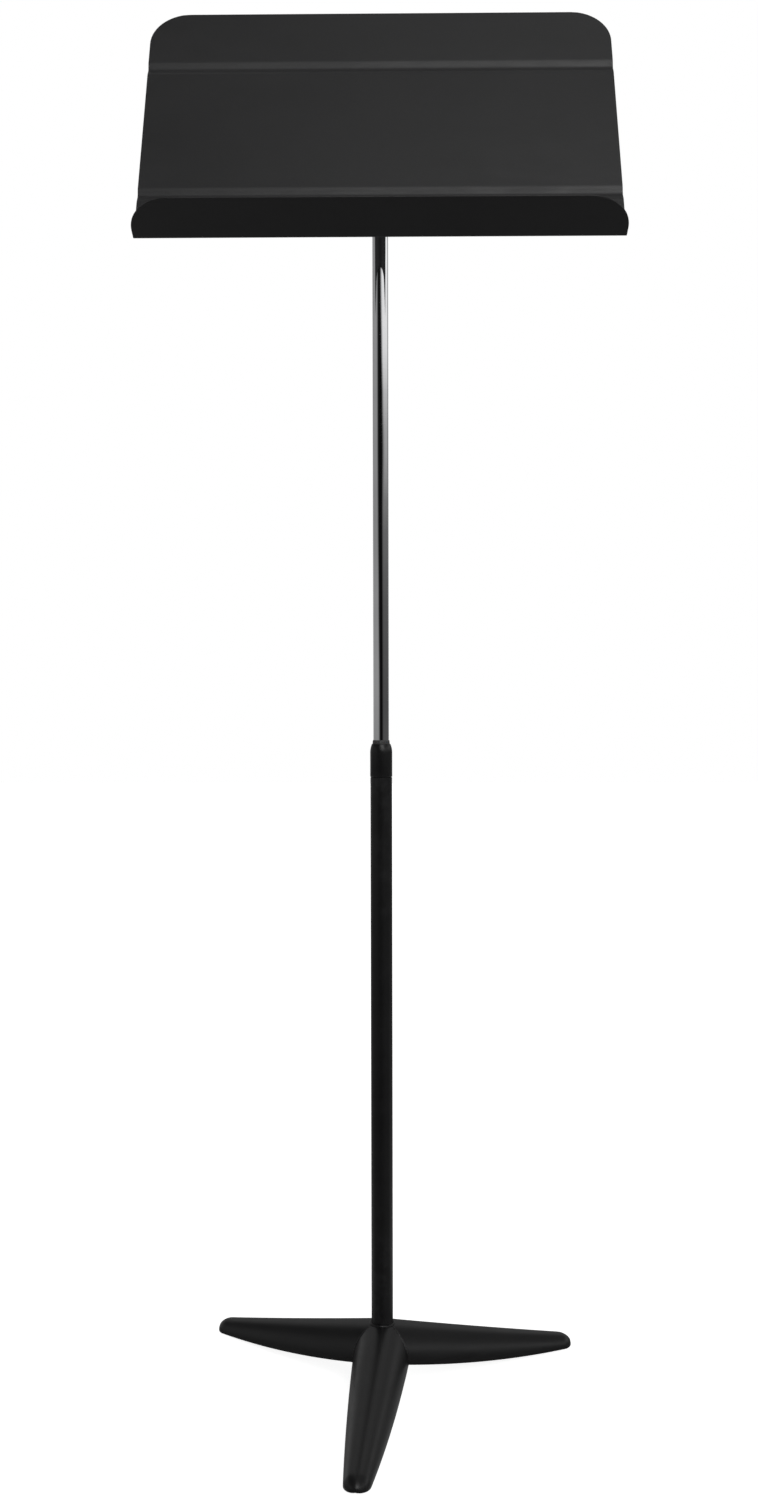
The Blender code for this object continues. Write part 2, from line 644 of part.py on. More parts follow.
def build_pivot(desk):
    """The bolt along X, and the washers and nut that set the joint's friction."""
    hole = PIVOT_BOLT + GAP
    fibre_radius = 11.0 * MM
    fibre_low = HEAD_HALF + GAP
    fibre_high = fibre_low + WASHER_FIBRE
    flat_ring("friction_washer_left", hole, fibre_radius, -fibre_high, -fibre_low, FIBRE, desk)
    flat_ring("friction_washer_right", hole, fibre_radius, fibre_low, fibre_high, FIBRE, desk)
    ear_out = fibre_high + GAP + BRACKET_STEEL
    cup_low = ear_out + GAP
    cup_high = cup_low + 2.6 * MM
    cup_radius, cup_steel = 8.5 * MM, 1.0 * MM
    turned("spring_washer", [
        (cup_radius, cup_low), (cup_radius, cup_low + cup_steel), (hole, cup_high),
        (hole, cup_high - cup_steel),
    ], SPRING_STEEL, desk, hollow=True, segments=SMALL_SEGMENTS, along="X")
    plain_low = cup_high + GAP
    plain_high = plain_low + 1.6 * MM
    flat_ring("plain_washer", hole, cup_radius, plain_low, plain_high, ZINC, desk)
    nut_low = plain_high + GAP
    nut_high = nut_low + 8.0 * MM
    nut_half, collar_radius = 6.5 * MM, 5.8 * MM
    turned("lock_nut", [
        (nut_half, nut_low, 6), (nut_half, nut_high - 2.4 * MM, 6),
        (collar_radius, nut_high - 1.8 * MM), (collar_radius, nut_high - 0.4 * MM),
        (collar_radius - 0.4 * MM, nut_high), (hole, nut_high), (hole, nut_low),
    ], ZINC, desk, hollow=True, segments=SMALL_SEGMENTS, along="X")
    hex_bolt("pivot_bolt", desk, head_half=6.5 * MM, head_height=5.3 * MM, shank=PIVOT_BOLT,
             seat=-ear_out - GAP, tip=nut_high + 3.0 * MM, along="X")


# Desk --------------------------------------------------------------------------------------------

CORNER_STEPS = 8
BEND_STEPS = 5
RIB_STEPS = 10


def rib(height):
    """Depth and slope of the ribs pressed into the desk, at a height above the bend."""
    for centre in RIB_HEIGHTS:
        offset = height - centre
        if abs(offset) < RIB_HALF_WIDTH:
            phase = math.pi * offset / RIB_HALF_WIDTH
            slope = -RIB_DEPTH / 2 * math.pi / RIB_HALF_WIDTH * math.sin(phase)
            return RIB_DEPTH / 2 * (1 + math.cos(phase)), slope
    return 0.0, 0.0


def corner_rows(radius):
    """Rows of a rounded corner: distance from the sheet's end and how far the side is set in."""
    rows = []
    for step in range(CORNER_STEPS + 1):
        angle = math.pi / 2 * step / CORNER_STEPS
        rows.append((radius * (1 - math.cos(angle)), radius * (1 - math.sin(angle))))
    return rows


def desk_rows():
    """Rows across the sheet from the ledge's front edge to the desk's top edge.

    Each is (point on the back, normal towards the face, half width), with points as (y, z) from the
    bend's outer corner.
    """
    rows = []
    for distance, inset in corner_rows(LEDGE_CORNER):
        rows.append(((distance - LEDGE_DEPTH, 0.0), (0.0, 1.0), DESK_WIDTH / 2 - inset))
    for step in range(BEND_STEPS + 1):
        angle = math.pi / 2 * step / BEND_STEPS
        inward = (-math.sin(angle), math.cos(angle))
        rows.append(((-BEND_RADIUS - BEND_RADIUS * inward[0], BEND_RADIUS - BEND_RADIUS * inward[1]),
                     inward, DESK_WIDTH / 2))
    for centre in RIB_HEIGHTS:
        for step in range(RIB_STEPS + 1):
            height = centre - RIB_HALF_WIDTH + 2 * RIB_HALF_WIDTH * step / RIB_STEPS
            depth, slope = rib(height)
            length = math.hypot(1.0, slope)
            rows.append(((depth, height), (-1.0 / length, slope / length), DESK_WIDTH / 2))
    for distance, inset in reversed(corner_rows(TOP_CORNER)):
        rows.append(((0.0, DESK_HEIGHT - distance), (-1.0, 0.0), DESK_WIDTH / 2 - inset))
    return rows


def build_desk_panel(desk):
    """One bent sheet: desk, ledge, two ribs pressed backwards and four rounded corners."""
    bm = bmesh.new()
    loops = []
    for (y, z), (normal_y, normal_z), half in desk_rows():
        y, z = y - PIVOT_BEHIND, z - PIVOT_UP
        face_y, face_z = y + SHEET * normal_y, z + SHEET * normal_z
        loops.append([bm.verts.new(point) for point in (
            (-half, y, z), (half, y, z), (half, face_y, face_z), (-half, face_y, face_z))])
    for near, far in zip(loops, loops[1:]):
        for index in range(4):
            after = (index + 1) % 4
            bm.faces.new((near[index], near[after], far[after], far[index]))
    bm.faces.new(loops[0])
    bm.faces.new(loops[-1])
    panel = place(bm, "desk_panel", DESK_BLACK, desk, sharp=30.0)
    drill_rivets(panel, desk, "desk", countersunk=True)


# Assembly ----------------------------------------------------------------------------------------


def build_stand():
    base = frame("base_frame", (0.0, SHAFT_Y, 0.0))
    for side, sixths in (("front", 0), ("right", 2), ("left", -2)):
        build_leg(side, -math.pi / 2 + LEG_TURN + sixths * math.pi / 3, base)
    build_hub(base)
    build_tube(base)
    clutch = frame("height_slide", (0.0, 0.0, SHAFT_BOTTOM), parent=base)
    clutch_low = build_clutch(clutch)
    shaft = frame("shaft_swivel", parent=clutch)
    build_shaft(shaft, clutch_low)
    build_head(shaft)
    desk = frame("desk_tilt", (0.0, 0.0, PIVOT_HEIGHT - SHAFT_BOTTOM), (-LEAN, 0.0, 0.0), shaft)
    build_desk_panel(desk)
    build_bracket(desk)
    build_rivets(desk)
    build_pivot(desk)


build_stand()
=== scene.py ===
"""Looks of the orchestra music stand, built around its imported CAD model.

Every piece is in metres in the CAD model's own frame: +Z up, the desk's face towards -Y, the floor at
z = 0. Shapes repeat the CAD model's dimensions with finer meshes and softened edges.
"""

import json
import math

import bmesh
import bpy
from mathutils import Matrix, Vector, noise


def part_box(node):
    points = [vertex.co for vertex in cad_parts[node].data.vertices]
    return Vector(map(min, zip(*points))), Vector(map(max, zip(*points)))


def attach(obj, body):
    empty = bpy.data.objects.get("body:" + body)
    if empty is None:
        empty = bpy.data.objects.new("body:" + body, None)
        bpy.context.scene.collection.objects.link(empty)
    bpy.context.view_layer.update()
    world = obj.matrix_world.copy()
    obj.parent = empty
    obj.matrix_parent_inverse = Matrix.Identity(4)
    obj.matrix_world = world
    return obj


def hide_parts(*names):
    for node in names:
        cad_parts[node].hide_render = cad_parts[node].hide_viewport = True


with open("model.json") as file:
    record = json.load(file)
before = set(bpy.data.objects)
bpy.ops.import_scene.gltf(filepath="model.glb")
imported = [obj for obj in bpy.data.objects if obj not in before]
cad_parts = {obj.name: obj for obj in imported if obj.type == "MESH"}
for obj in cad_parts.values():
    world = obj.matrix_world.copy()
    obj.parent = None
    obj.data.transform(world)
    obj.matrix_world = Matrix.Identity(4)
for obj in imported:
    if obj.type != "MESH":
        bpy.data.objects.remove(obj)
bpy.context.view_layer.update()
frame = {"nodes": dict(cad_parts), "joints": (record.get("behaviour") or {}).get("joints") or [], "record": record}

MM = 0.001
NODES = frame["nodes"]
JOINTS = {joint["name"]: joint for joint in frame["joints"]}
PIVOT = Vector(JOINTS["desk_tilt"]["pos_m"])
LEAN = -math.radians(JOINTS["desk_tilt"]["range_deg"][0])
AXIS_Y = PIVOT.y

# Camera -------------------------------------------------------------------------------------------

CAMERA_DISTANCE = 1.611
CAMERA_HEIGHT = 0.7453
CAMERA_SIDE = 0.0162
CAMERA_HEADING = math.radians(0.66)
CAMERA_PITCH = math.radians(-1.86)
CAMERA_ROLL = math.radians(-0.115)
LONG_SIDE_PIXELS = 1500
FOCAL_PIXELS = 1489.7
SENSOR_MM = 36.0
CLIP_NEAR = 0.05
CLIP_FAR = 60.0


def make_camera():
    """The photo's viewpoint, fitted to the outlines of the desk, the column and the base."""
    data = bpy.data.cameras.new("camera")
    data.sensor_width = SENSOR_MM
    data.lens = SENSOR_MM * FOCAL_PIXELS / LONG_SIDE_PIXELS
    data.clip_start = CLIP_NEAR
    data.clip_end = CLIP_FAR
    camera = bpy.data.objects.new("camera", data)
    bpy.context.scene.collection.objects.link(camera)
    camera.location = (CAMERA_SIDE, AXIS_Y - CAMERA_DISTANCE, CAMERA_HEIGHT)
    turn = Matrix.Rotation(CAMERA_HEADING, 4, "Z")
    tilt = Matrix.Rotation(math.pi / 2 + CAMERA_PITCH, 4, "X")
    roll = Matrix.Rotation(CAMERA_ROLL, 4, "Z")
    camera.rotation_euler = (turn @ tilt @ roll).to_euler()
    bpy.context.scene.camera = camera


make_camera()

# Materials ----------------------------------------------------------------------------------------


class Graph:
    """Short ways to add shader nodes to one tree."""

    def __init__(self, tree):
        self.tree = tree

    def add(self, kind):
        return self.tree.nodes.new(kind)

    def link(self, source, target):
        self.tree.links.new(source, target)

    def math(self, operation, first, second=0.0):
        node = self.add("ShaderNodeMath")
        node.operation = operation
        for socket, value in zip(node.inputs, (first, second)):
            if isinstance(value, (int, float)):
                socket.default_value = value
            else:
                self.link(value, socket)
        return node.outputs["Value"]

    def remap(self, source, low, high, to_low=0.0, to_high=1.0):
        node = self.add("ShaderNodeMapRange")
        for name, value in (("From Min", low), ("From Max", high), ("To Min", to_low),
                            ("To Max", to_high)):
            node.inputs[name].default_value = value
        self.link(source, node.inputs["Value"])
        return node.outputs["Result"]

    def ramp(self, source, stops, interpolation="LINEAR"):
        """A colour for each position from 0 to 1."""
        node = self.add("ShaderNodeValToRGB")
        node.color_ramp.interpolation = interpolation
        elements = node.color_ramp.elements
        while len(elements) < len(stops):
            elements.new(0.5)
        for element, (position, color) in zip(elements, stops):
            element.position = position
            element.color = (*color, 1.0)
        self.link(source, node.inputs["Fac"])
        return node.outputs["Color"]


class Look(Graph):
    """One material, with its textures placed in the object's own coordinates."""

    def __init__(self, name):
        self.material = bpy.data.materials.new(name)
        self.material.use_nodes = True
        super().__init__(self.material.node_tree)
        self.shader = self.tree.nodes["Principled BSDF"]
        self.place = self.add("ShaderNodeTexCoord").outputs["Object"]

    def drive(self, name, source):
        self.link(source, self.shader.inputs[name])

    def constant(self, **values):
        for name, value in values.items():
            self.shader.inputs[name.replace("_", " ")].default_value = value

    def noise(self, scale, detail=4.0, rough=0.55, stretch=None, warp=0.0):
        place = self.place
        if stretch:
            mapping = self.add("ShaderNodeMapping")
            mapping.inputs["Scale"].default_value = stretch
            self.link(place, mapping.inputs["Vector"])
            place = mapping.outputs["Vector"]
        node = self.add("ShaderNodeTexNoise")
        node.inputs["Scale"].default_value = scale
        node.inputs["Detail"].default_value = detail
        node.inputs["Roughness"].default_value = rough
        node.inputs["Distortion"].default_value = warp
        self.link(place, node.inputs["Vector"])
        return node.outputs["Fac"]

    def mix(self, factor, first, second):
        node = self.add("ShaderNodeMix")
        node.data_type = "RGBA"
        self.link(factor, node.inputs["Factor"])
        for socket, value in ((node.inputs["A"], first), (node.inputs["B"], second)):
            if isinstance(value, tuple):
                socket.default_value = (*value, 1.0)
            else:
                self.link(value, socket)
        return node.outputs["Result"]

    def edges(self, low=0.52, high=0.62):
        """1 on worn outer edges, from how sharply the surface turns."""
        geometry = self.add("ShaderNodeNewGeometry")
        return self.remap(geometry.outputs["Pointiness"], low, high)

    def bump(self, *layers):
        """Layers of (height, distance in metres, strength), finest last."""
        normal = None
        for height, distance, strength in layers:
            node = self.add("ShaderNodeBump")
            node.inputs["Distance"].default_value = distance
            node.inputs["Strength"].default_value = strength
            self.link(height, node.inputs["Height"])
            if normal is not None:
                self.link(normal, node.inputs["Normal"])
            normal = node.outputs["Normal"]
        self.drive("Normal", normal)


RUBBED = (0.16, 0.16, 0.165)
DUST = (0.10, 0.10, 0.105)


def powder_coat(name, dark, light, roughness, grain_scale, grain_depth, dust=DUST):
    """Baked powder coat: fine orange peel, a slow change of tone, faint scuffs and rubbed edges."""
    n = Look(name)
    slow = n.noise(5.0, 3.0, 0.5, warp=0.3)
    speck = n.noise(grain_scale * 1.7, 2.0, 0.6)
    tone = n.mix(n.remap(slow, 0.35, 0.68), dark, light)
    tone = n.mix(n.remap(speck, 0.60, 0.74, 0.0, 0.30), tone, dust)
    wear = n.math("MULTIPLY", n.edges(), n.remap(n.noise(60.0, 5.0, 0.6), 0.45, 0.62))
    tone = n.mix(n.math("MULTIPLY", wear, 0.35), tone, RUBBED)
    n.drive("Base Color", tone)
    scuff = n.noise(14.0, 6.0, 0.65, stretch=(1.0, 1.0, 2.6), warp=1.2)
    peel = n.noise(grain_scale, 2.0, 0.5)
    rough = n.math("ADD", n.remap(scuff, 0.3, 0.75, roughness - 0.05, roughness + 0.07),
                   n.remap(speck, 0.3, 0.7, -0.03, 0.03))
    n.drive("Roughness", rough)
    n.constant(Metallic=0.0, IOR=1.5)
    n.bump((slow, 0.0006, 0.15), (peel, grain_depth, 0.55),
           (n.noise(grain_scale * 3.1, 1.0, 0.5), grain_depth * 0.4, 0.4))
    return n.material


def chrome():
    """Polished chrome plate: hairline polishing marks, faint haze and a few fine ring scratches."""
    n = Look("look_chrome")
    haze = n.noise(18.0, 5.0, 0.6, warp=0.6)
    lines = n.noise(900.0, 2.0, 0.5, stretch=(1.0, 1.0, 0.02))
    rings = n.noise(700.0, 2.0, 0.5, stretch=(0.02, 0.02, 1.0))
    tone = n.ramp(haze, [(0.3, (0.78, 0.785, 0.80)), (0.7, (0.86, 0.86, 0.865))])
    n.drive("Base Color", tone)
    rough = n.math("ADD", n.remap(haze, 0.35, 0.75, 0.035, 0.075), n.remap(rings, 0.62, 0.8, 0.0, 0.05))
    n.drive("Roughness", rough)
    n.constant(Metallic=1.0)
    n.bump((lines, 0.00002, 0.2), (rings, 0.000015, 0.2))
    return n.material


def zinc():
    """Bright zinc plate: cloudy crystal tone, fine turning lines and a few dull spots."""
    n = Look("look_zinc")
    cloud = n.noise(90.0, 5.0, 0.6, warp=0.5)
    dull = n.noise(260.0, 4.0, 0.6)
    tone = n.ramp(cloud, [(0.3, (0.38, 0.39, 0.40)), (0.55, (0.52, 0.53, 0.54)), (0.8, (0.60, 0.59, 0.56))])
    n.drive("Base Color", n.mix(n.remap(dull, 0.6, 0.75, 0.0, 0.6), tone, (0.30, 0.31, 0.32)))
    n.drive("Roughness", n.remap(cloud, 0.3, 0.75, 0.24, 0.42))
    n.constant(Metallic=1.0)
    n.bump((n.noise(2200.0, 2.0), 0.00003, 0.5), (dull, 0.00006, 0.3))
    return n.material


def spring_steel():
    """Tempered spring steel with a blue-brown oxide tint."""
    n = Look("look_spring_steel")
    tint = n.noise(160.0, 4.0, 0.6)
    tone = n.ramp(tint, [(0.3, (0.20, 0.19, 0.19)), (0.6, (0.33, 0.33, 0.35)), (0.8, (0.27, 0.24, 0.21))])
    n.drive("Base Color", tone)
    n.drive("Roughness", n.remap(tint, 0.3, 0.7, 0.25, 0.38))
    n.constant(Metallic=1.0)
    n.bump((n.noise(1800.0, 2.0), 0.00003, 0.4))
    return n.material


def nylon(name, low, high):
    """Moulded nylon: a soft mottled tone, fine spark-erosion grain and slight translucency."""
    n = Look(name)
    mottle = n.noise(120.0, 4.0, 0.55)
    n.drive("Base Color", n.mix(n.remap(mottle, 0.3, 0.7), low, high))
    n.drive("Roughness", n.remap(mottle, 0.3, 0.7, 0.38, 0.5))
    n.constant(IOR=1.53, Subsurface_Weight=0.08, Subsurface_Scale=0.001)
    n.bump((n.noise(2600.0, 2.0), 0.00004, 0.5))
    return n.material


def fibre():
    """Pressed vulcanised fibre: short dark fibres in a red-brown sheet."""
    n = Look("look_fibre")
    strands = n.noise(900.0, 4.0, 0.6, stretch=(1.0, 0.25, 1.0), warp=1.0)
    n.drive("Base Color", n.mix(n.remap(strands, 0.35, 0.65), (0.05, 0.024, 0.018), (0.13, 0.065, 0.05)))
    n.drive("Roughness", n.remap(strands, 0.3, 0.7, 0.7, 0.9))
    n.bump((strands, 0.0001, 0.6))
    return n.material


def rubber():
    """Black moulded rubber with a matt bloom and dust in its grain."""
    n = Look("look_rubber")
    bloom = n.noise(70.0, 5.0, 0.6)
    grain = n.noise(1500.0, 3.0, 0.6)
    tone = n.mix(n.remap(bloom, 0.4, 0.7), (0.012, 0.012, 0.012), (0.024, 0.024, 0.024))
    tone = n.mix(n.remap(grain, 0.62, 0.75, 0.0, 0.3), tone, (0.07, 0.068, 0.064))
    n.drive("Base Color", tone)
    n.drive("Roughness", n.remap(bloom, 0.3, 0.7, 0.68, 0.85))
    n.bump((grain, 0.0001, 0.6))
    return n.material


LOOKS = {
    "desk_black": powder_coat("look_desk_black", dark=(0.020, 0.020, 0.021), light=(0.026, 0.026, 0.027),
                              roughness=0.38, grain_scale=900.0, grain_depth=0.00006),
    "steel_black": powder_coat("look_steel_black", dark=(0.0085, 0.0085, 0.009),
                               light=(0.011, 0.011, 0.0115), roughness=0.36, grain_scale=1100.0,
                               grain_depth=0.00004, dust=(0.035, 0.035, 0.037)),
    "chrome": chrome(),
    "zinc": zinc(),
    "spring_steel": spring_steel(),
    "nylon_grey": nylon("look_nylon_grey", (0.065, 0.065, 0.067), (0.095, 0.095, 0.097)),
    "nylon_white": nylon("look_nylon_white", (0.66, 0.64, 0.58), (0.76, 0.74, 0.69)),
    "fibre": fibre(),
    "rubber": rubber(),
}
SLOT_OF = {part["node"]: part["material_slot"] for part in frame["record"]["subparts"]}


def dress_cad_nodes():
    """Gives every CAD node its look, since some of them stay in view."""
    for name, node in NODES.items():
        node.data.materials.clear()
        node.data.materials.append(LOOKS[SLOT_OF[name]])


dress_cad_nodes()

# Mesh helpers -------------------------------------------------------------------------------------


def make_piece(name, bm, slot, body, replaced=(), sharp=40.0):
    """Turns a bmesh into a piece that rides on a body and stands for the CAD nodes given."""
    bmesh.ops.recalc_face_normals(bm, faces=bm.faces)
    mesh = bpy.data.meshes.new(name)
    bm.to_mesh(mesh)
    bm.free()
    mesh.shade_smooth()
    mesh.set_sharp_from_angle(angle=math.radians(sharp))
    mesh.materials.append(LOOKS[slot])
    piece = bpy.data.objects.new(name, mesh)
    bpy.context.scene.collection.objects.link(piece)
    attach(piece, body)
    if replaced:
        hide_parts(*replaced)
    return piece


def soften(piece, width, segments=2, angle=35.0):
    """Rounds a piece's sharp edges, as paint, plating and moulding do."""
    modifier = piece.modifiers.new("soft_edges", "BEVEL")
    modifier.width = width
    modifier.segments = segments
    modifier.limit_method = "ANGLE"
    modifier.angle_limit = math.radians(angle)
    modifier.harden_normals = False


def arc(centre, radius, start, end, steps):
    """Points on a circle, from one angle in degrees to another, as pairs."""
    points = []
    for index in range(steps + 1):
        angle = math.radians(start + (end - start) * index / steps)
        points.append((centre[0] + radius * math.cos(angle), centre[1] + radius * math.sin(angle)))
    return points


def flat_distance(size, sides, angle):
    """Distance to the flats of a polygon whose half width across flats is size."""
    step = math.tau / sides
    return size / math.cos((angle % step) - step / 2)


COLUMN = Matrix.Translation((0.0, AXIS_Y, 0.0))
ALONG_X = Matrix.Rotation(math.pi / 2, 4, "Y")
ALONG_Y = Matrix.Rotation(-math.pi / 2, 4, "X")


def add_turned(bm, profile, place, hollow=True, segments=96):
    """Adds a turned shell. A ring is (radius, height), or (half width across flats, height, number of
    sides, corner radius)."""
    rings = []
    for size, height, *polygon in profile:
        ring = []
        for index in range(segments):
            angle = math.tau * index / segments
            radius = size
            if polygon:
                radius = min(flat_distance(size, polygon[0], angle), polygon[1])
            point = Vector((radius * math.cos(angle), radius * math.sin(angle), height))
            ring.append(bm.verts.new(place @ point))
        rings.append(ring)
    following = rings[1:] + rings[:1] if hollow else rings[1:]
    for lower, upper in zip(rings, following):
        for index in range(segments):
            after = (index + 1) % segments
            bm.faces.new((lower[index], lower[after], upper[after], upper[index]))
    if not hollow:
        bm.faces.new(rings[0])
        bm.faces.new(rings[-1])


def turned(name, profile, slot, body, replaced=(), place=COLUMN, hollow=True, segments=96, sharp=40.0):
    """A turned piece about the column's axis, or about the Z axis of the place given."""
    bm = bmesh.new()
    add_turned(bm, profile, place, hollow, segments)
    return make_piece(name, bm, slot, body, replaced, sharp)


def add_prism(bm, outline, low, high, place):
    """Adds a plate: an outline of (x, y) points extruded from low to high along Z."""
    ends = [[bm.verts.new(place @ Vector((x, y, z))) for x, y in outline] for z in (low, high)]
    for end in ends:
        bm.faces.new(end)
    for index in range(len(outline)):
        after = (index + 1) % len(outline)
        bm.faces.new((ends[0][index], ends[0][after], ends[1][after], ends[1][index]))


BEAD_GRAIN = 400.0
BEAD_WAVE_STEP = 2.1


def add_bead(bm, path, radius, ripple, closed, seed, sides=14):
    """Adds a weld bead: a tube along a path whose width ripples, closed or tapered at both ends."""
    count = len(path)
    rings = []
    for index, point in enumerate(path):
        before = path[index - 1] if index or closed else point
        after = path[(index + 1) % count] if index < count - 1 or closed else point
        along = (after - before).normalized()
        side = along.cross(Vector((0.0, 0.0, 1.0)) if abs(along.z) < 0.9 else Vector((1.0, 0.0, 0.0)))
        side.normalize()
        over = side.cross(along)
        taper = 1.0
        if not closed:
            taper = math.sqrt(max(0.02, 1.0 - (2.0 * index / (count - 1) - 1.0) ** 8))
        grain = noise.noise(point * BEAD_GRAIN + Vector((seed, 0.0, 0.0)))
        wave = ripple * (0.6 * math.cos(index * BEAD_WAVE_STEP) + grain)
        size = radius * taper * (1.0 + wave)
        ring = []
        for step in range(sides):
            turn = math.tau * step / sides
            ring.append(bm.verts.new(point + size * (math.cos(turn) * side + math.sin(turn) * over)))
        rings.append(ring)
    following = rings[1:] + rings[:1] if closed else rings[1:]
    for near, far in zip(rings, following):
        for step in range(sides):
            after = (step + 1) % sides
            bm.faces.new((near[step], near[after], far[after], far[step]))
    if not closed:
        bm.faces.new(rings[0])
        bm.faces.new(rings[-1])


# Desk ---------------------------------------------------------------------------------------------

DESK_WIDTH = 508.0 * MM
DESK_HEIGHT = 317.5 * MM
LEDGE_DEPTH = 59.2 * MM
SHEET = 1.6 * MM
TOP_CORNER = 43.0 * MM
LEDGE_CORNER = 45.0 * MM
BEND_RADIUS = 4.6 * MM
RIB_HEIGHTS = (59.0 * MM, 237.0 * MM)
RIB_HALF_WIDTH = 10.0 * MM
RIB_DEPTH = 2.4 * MM
BEND_STEPS = 12
RIB_STEPS = 28
CORNER_STEPS = 22
DESK_COLUMNS = 40
PIVOT_UP = 92.1 * MM
PIVOT_BEHIND = 23.5 * MM
EDGE_ROUND = 0.4 * MM
DESK_TURN = Matrix.Translation(PIVOT) @ Matrix.Rotation(-LEAN, 4, "X")


def rib(height):
    """Depth and slope of the ribs pressed into the desk."""
    for centre in RIB_HEIGHTS:
        offset = height - centre
        if abs(offset) < RIB_HALF_WIDTH:
            phase = math.pi * offset / RIB_HALF_WIDTH
            slope = -RIB_DEPTH / 2 * math.pi / RIB_HALF_WIDTH * math.sin(phase)
            return RIB_DEPTH / 2 * (1 + math.cos(phase)), slope
    return 0.0, 0.0


def corner_rows(radius):
    """Rows of a rounded corner, as (distance from the edge, inset). The row next to the edge is left out,
    to leave room for the edge's round."""
    rows = []
    for step in [0, *range(2, CORNER_STEPS + 1)]:
        angle = math.pi / 2 * step / CORNER_STEPS
        rows.append((radius * (1 - math.cos(angle)), radius * (1 - math.sin(angle))))
    return rows


def desk_rows():
    """Rows from the ledge's front edge to the desk's top: (back point, face normal, half width)."""
    rows = []
    for distance, inset in corner_rows(LEDGE_CORNER):
        rows.append(((distance - LEDGE_DEPTH, 0.0), (0.0, 1.0), DESK_WIDTH / 2 - inset))
    for step in range(BEND_STEPS + 1):
        angle = math.pi / 2 * step / BEND_STEPS
        inward = (-math.sin(angle), math.cos(angle))
        rows.append(((-BEND_RADIUS - BEND_RADIUS * inward[0], BEND_RADIUS - BEND_RADIUS * inward[1]),
                     inward, DESK_WIDTH / 2))
    for centre in RIB_HEIGHTS:
        for step in range(RIB_STEPS + 1):
            height = centre - RIB_HALF_WIDTH + 2 * RIB_HALF_WIDTH * step / RIB_STEPS
            depth, slope = rib(height)
            length = math.hypot(1.0, slope)
            rows.append(((depth, height), (-1.0 / length, slope / length), DESK_WIDTH / 2))
    for distance, inset in reversed(corner_rows(TOP_CORNER)):
        rows.append(((0.0, DESK_HEIGHT - distance), (-1.0, 0.0), DESK_WIDTH / 2 - inset))
    return rows


def build_desk():
    """The bent sheet, with its cut edge softened by the coat."""
    bm = bmesh.new()
    loops = []
    for (y, z), (normal_y, normal_z), half in desk_rows():
        y, z = y - PIVOT_BEHIND, z - PIVOT_UP
        loop = []
        for side in (0.0, SHEET):
            across = range(DESK_COLUMNS + 1) if side == 0.0 else range(DESK_COLUMNS, -1, -1)
            for index in across:
                x = -half + 2 * half * index / DESK_COLUMNS
                loop.append(bm.verts.new((x, y + side * normal_y, z + side * normal_z)))
        loops.append(loop)
    count = len(loops[0])
    for near, far in zip(loops, loops[1:]):
        for index in range(count):
            after = (index + 1) % count
            bm.faces.new((near[index], near[after], far[after], far[index]))
    for loop in (loops[0], loops[-1]):
        for index in range(DESK_COLUMNS):
            bm.faces.new((loop[index], loop[index + 1], loop[count - 2 - index], loop[count - 1 - index]))
    bm.transform(DESK_TURN)
    piece = make_piece("desk_sheet", bm, "desk_black", "desk", ["desk_panel"], sharp=45.0)
    soften(piece, EDGE_ROUND, 3, 60.0)


build_desk()

# Column -------------------------------------------------------------------------------------------

TUBE_RADIUS = 11.75 * MM
TUBE_BORE = 10.0 * MM
SHAFT_RADIUS = 8.4 * MM
SHAFT_BORE = 6.8 * MM
CAP_RADIUS = 11.95 * MM
CAP_WALL = 0.5 * MM
CAP_MOUTH = 9.6 * MM
CAP_MOUTH_ROUND = 0.45 * MM
CAP_STEPS = 14
CAP_SHOULDER_POWERS = (1.6, 0.85)
BUSHING_LIP = 9.3 * MM
BUSHING_TAPER = ((0.0, 3.0 * MM), (0.12 * MM, 1.4 * MM), (0.3 * MM, 0.4 * MM))
TUBE_ROUND = 0.4 * MM
TUBE_STEP_ROUND = 0.3 * MM
SHAFT_ROUND = 0.3 * MM
FINE_EDGE = 0.15 * MM
TUBE_MIDDLE = (0.25, 0.45)
SHAFT_MIDDLE = (0.95, 1.1)
GAP = 0.3 * MM


def heights(node):
    """The lowest and highest Z of a CAD node."""
    return (corner.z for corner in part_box(node))


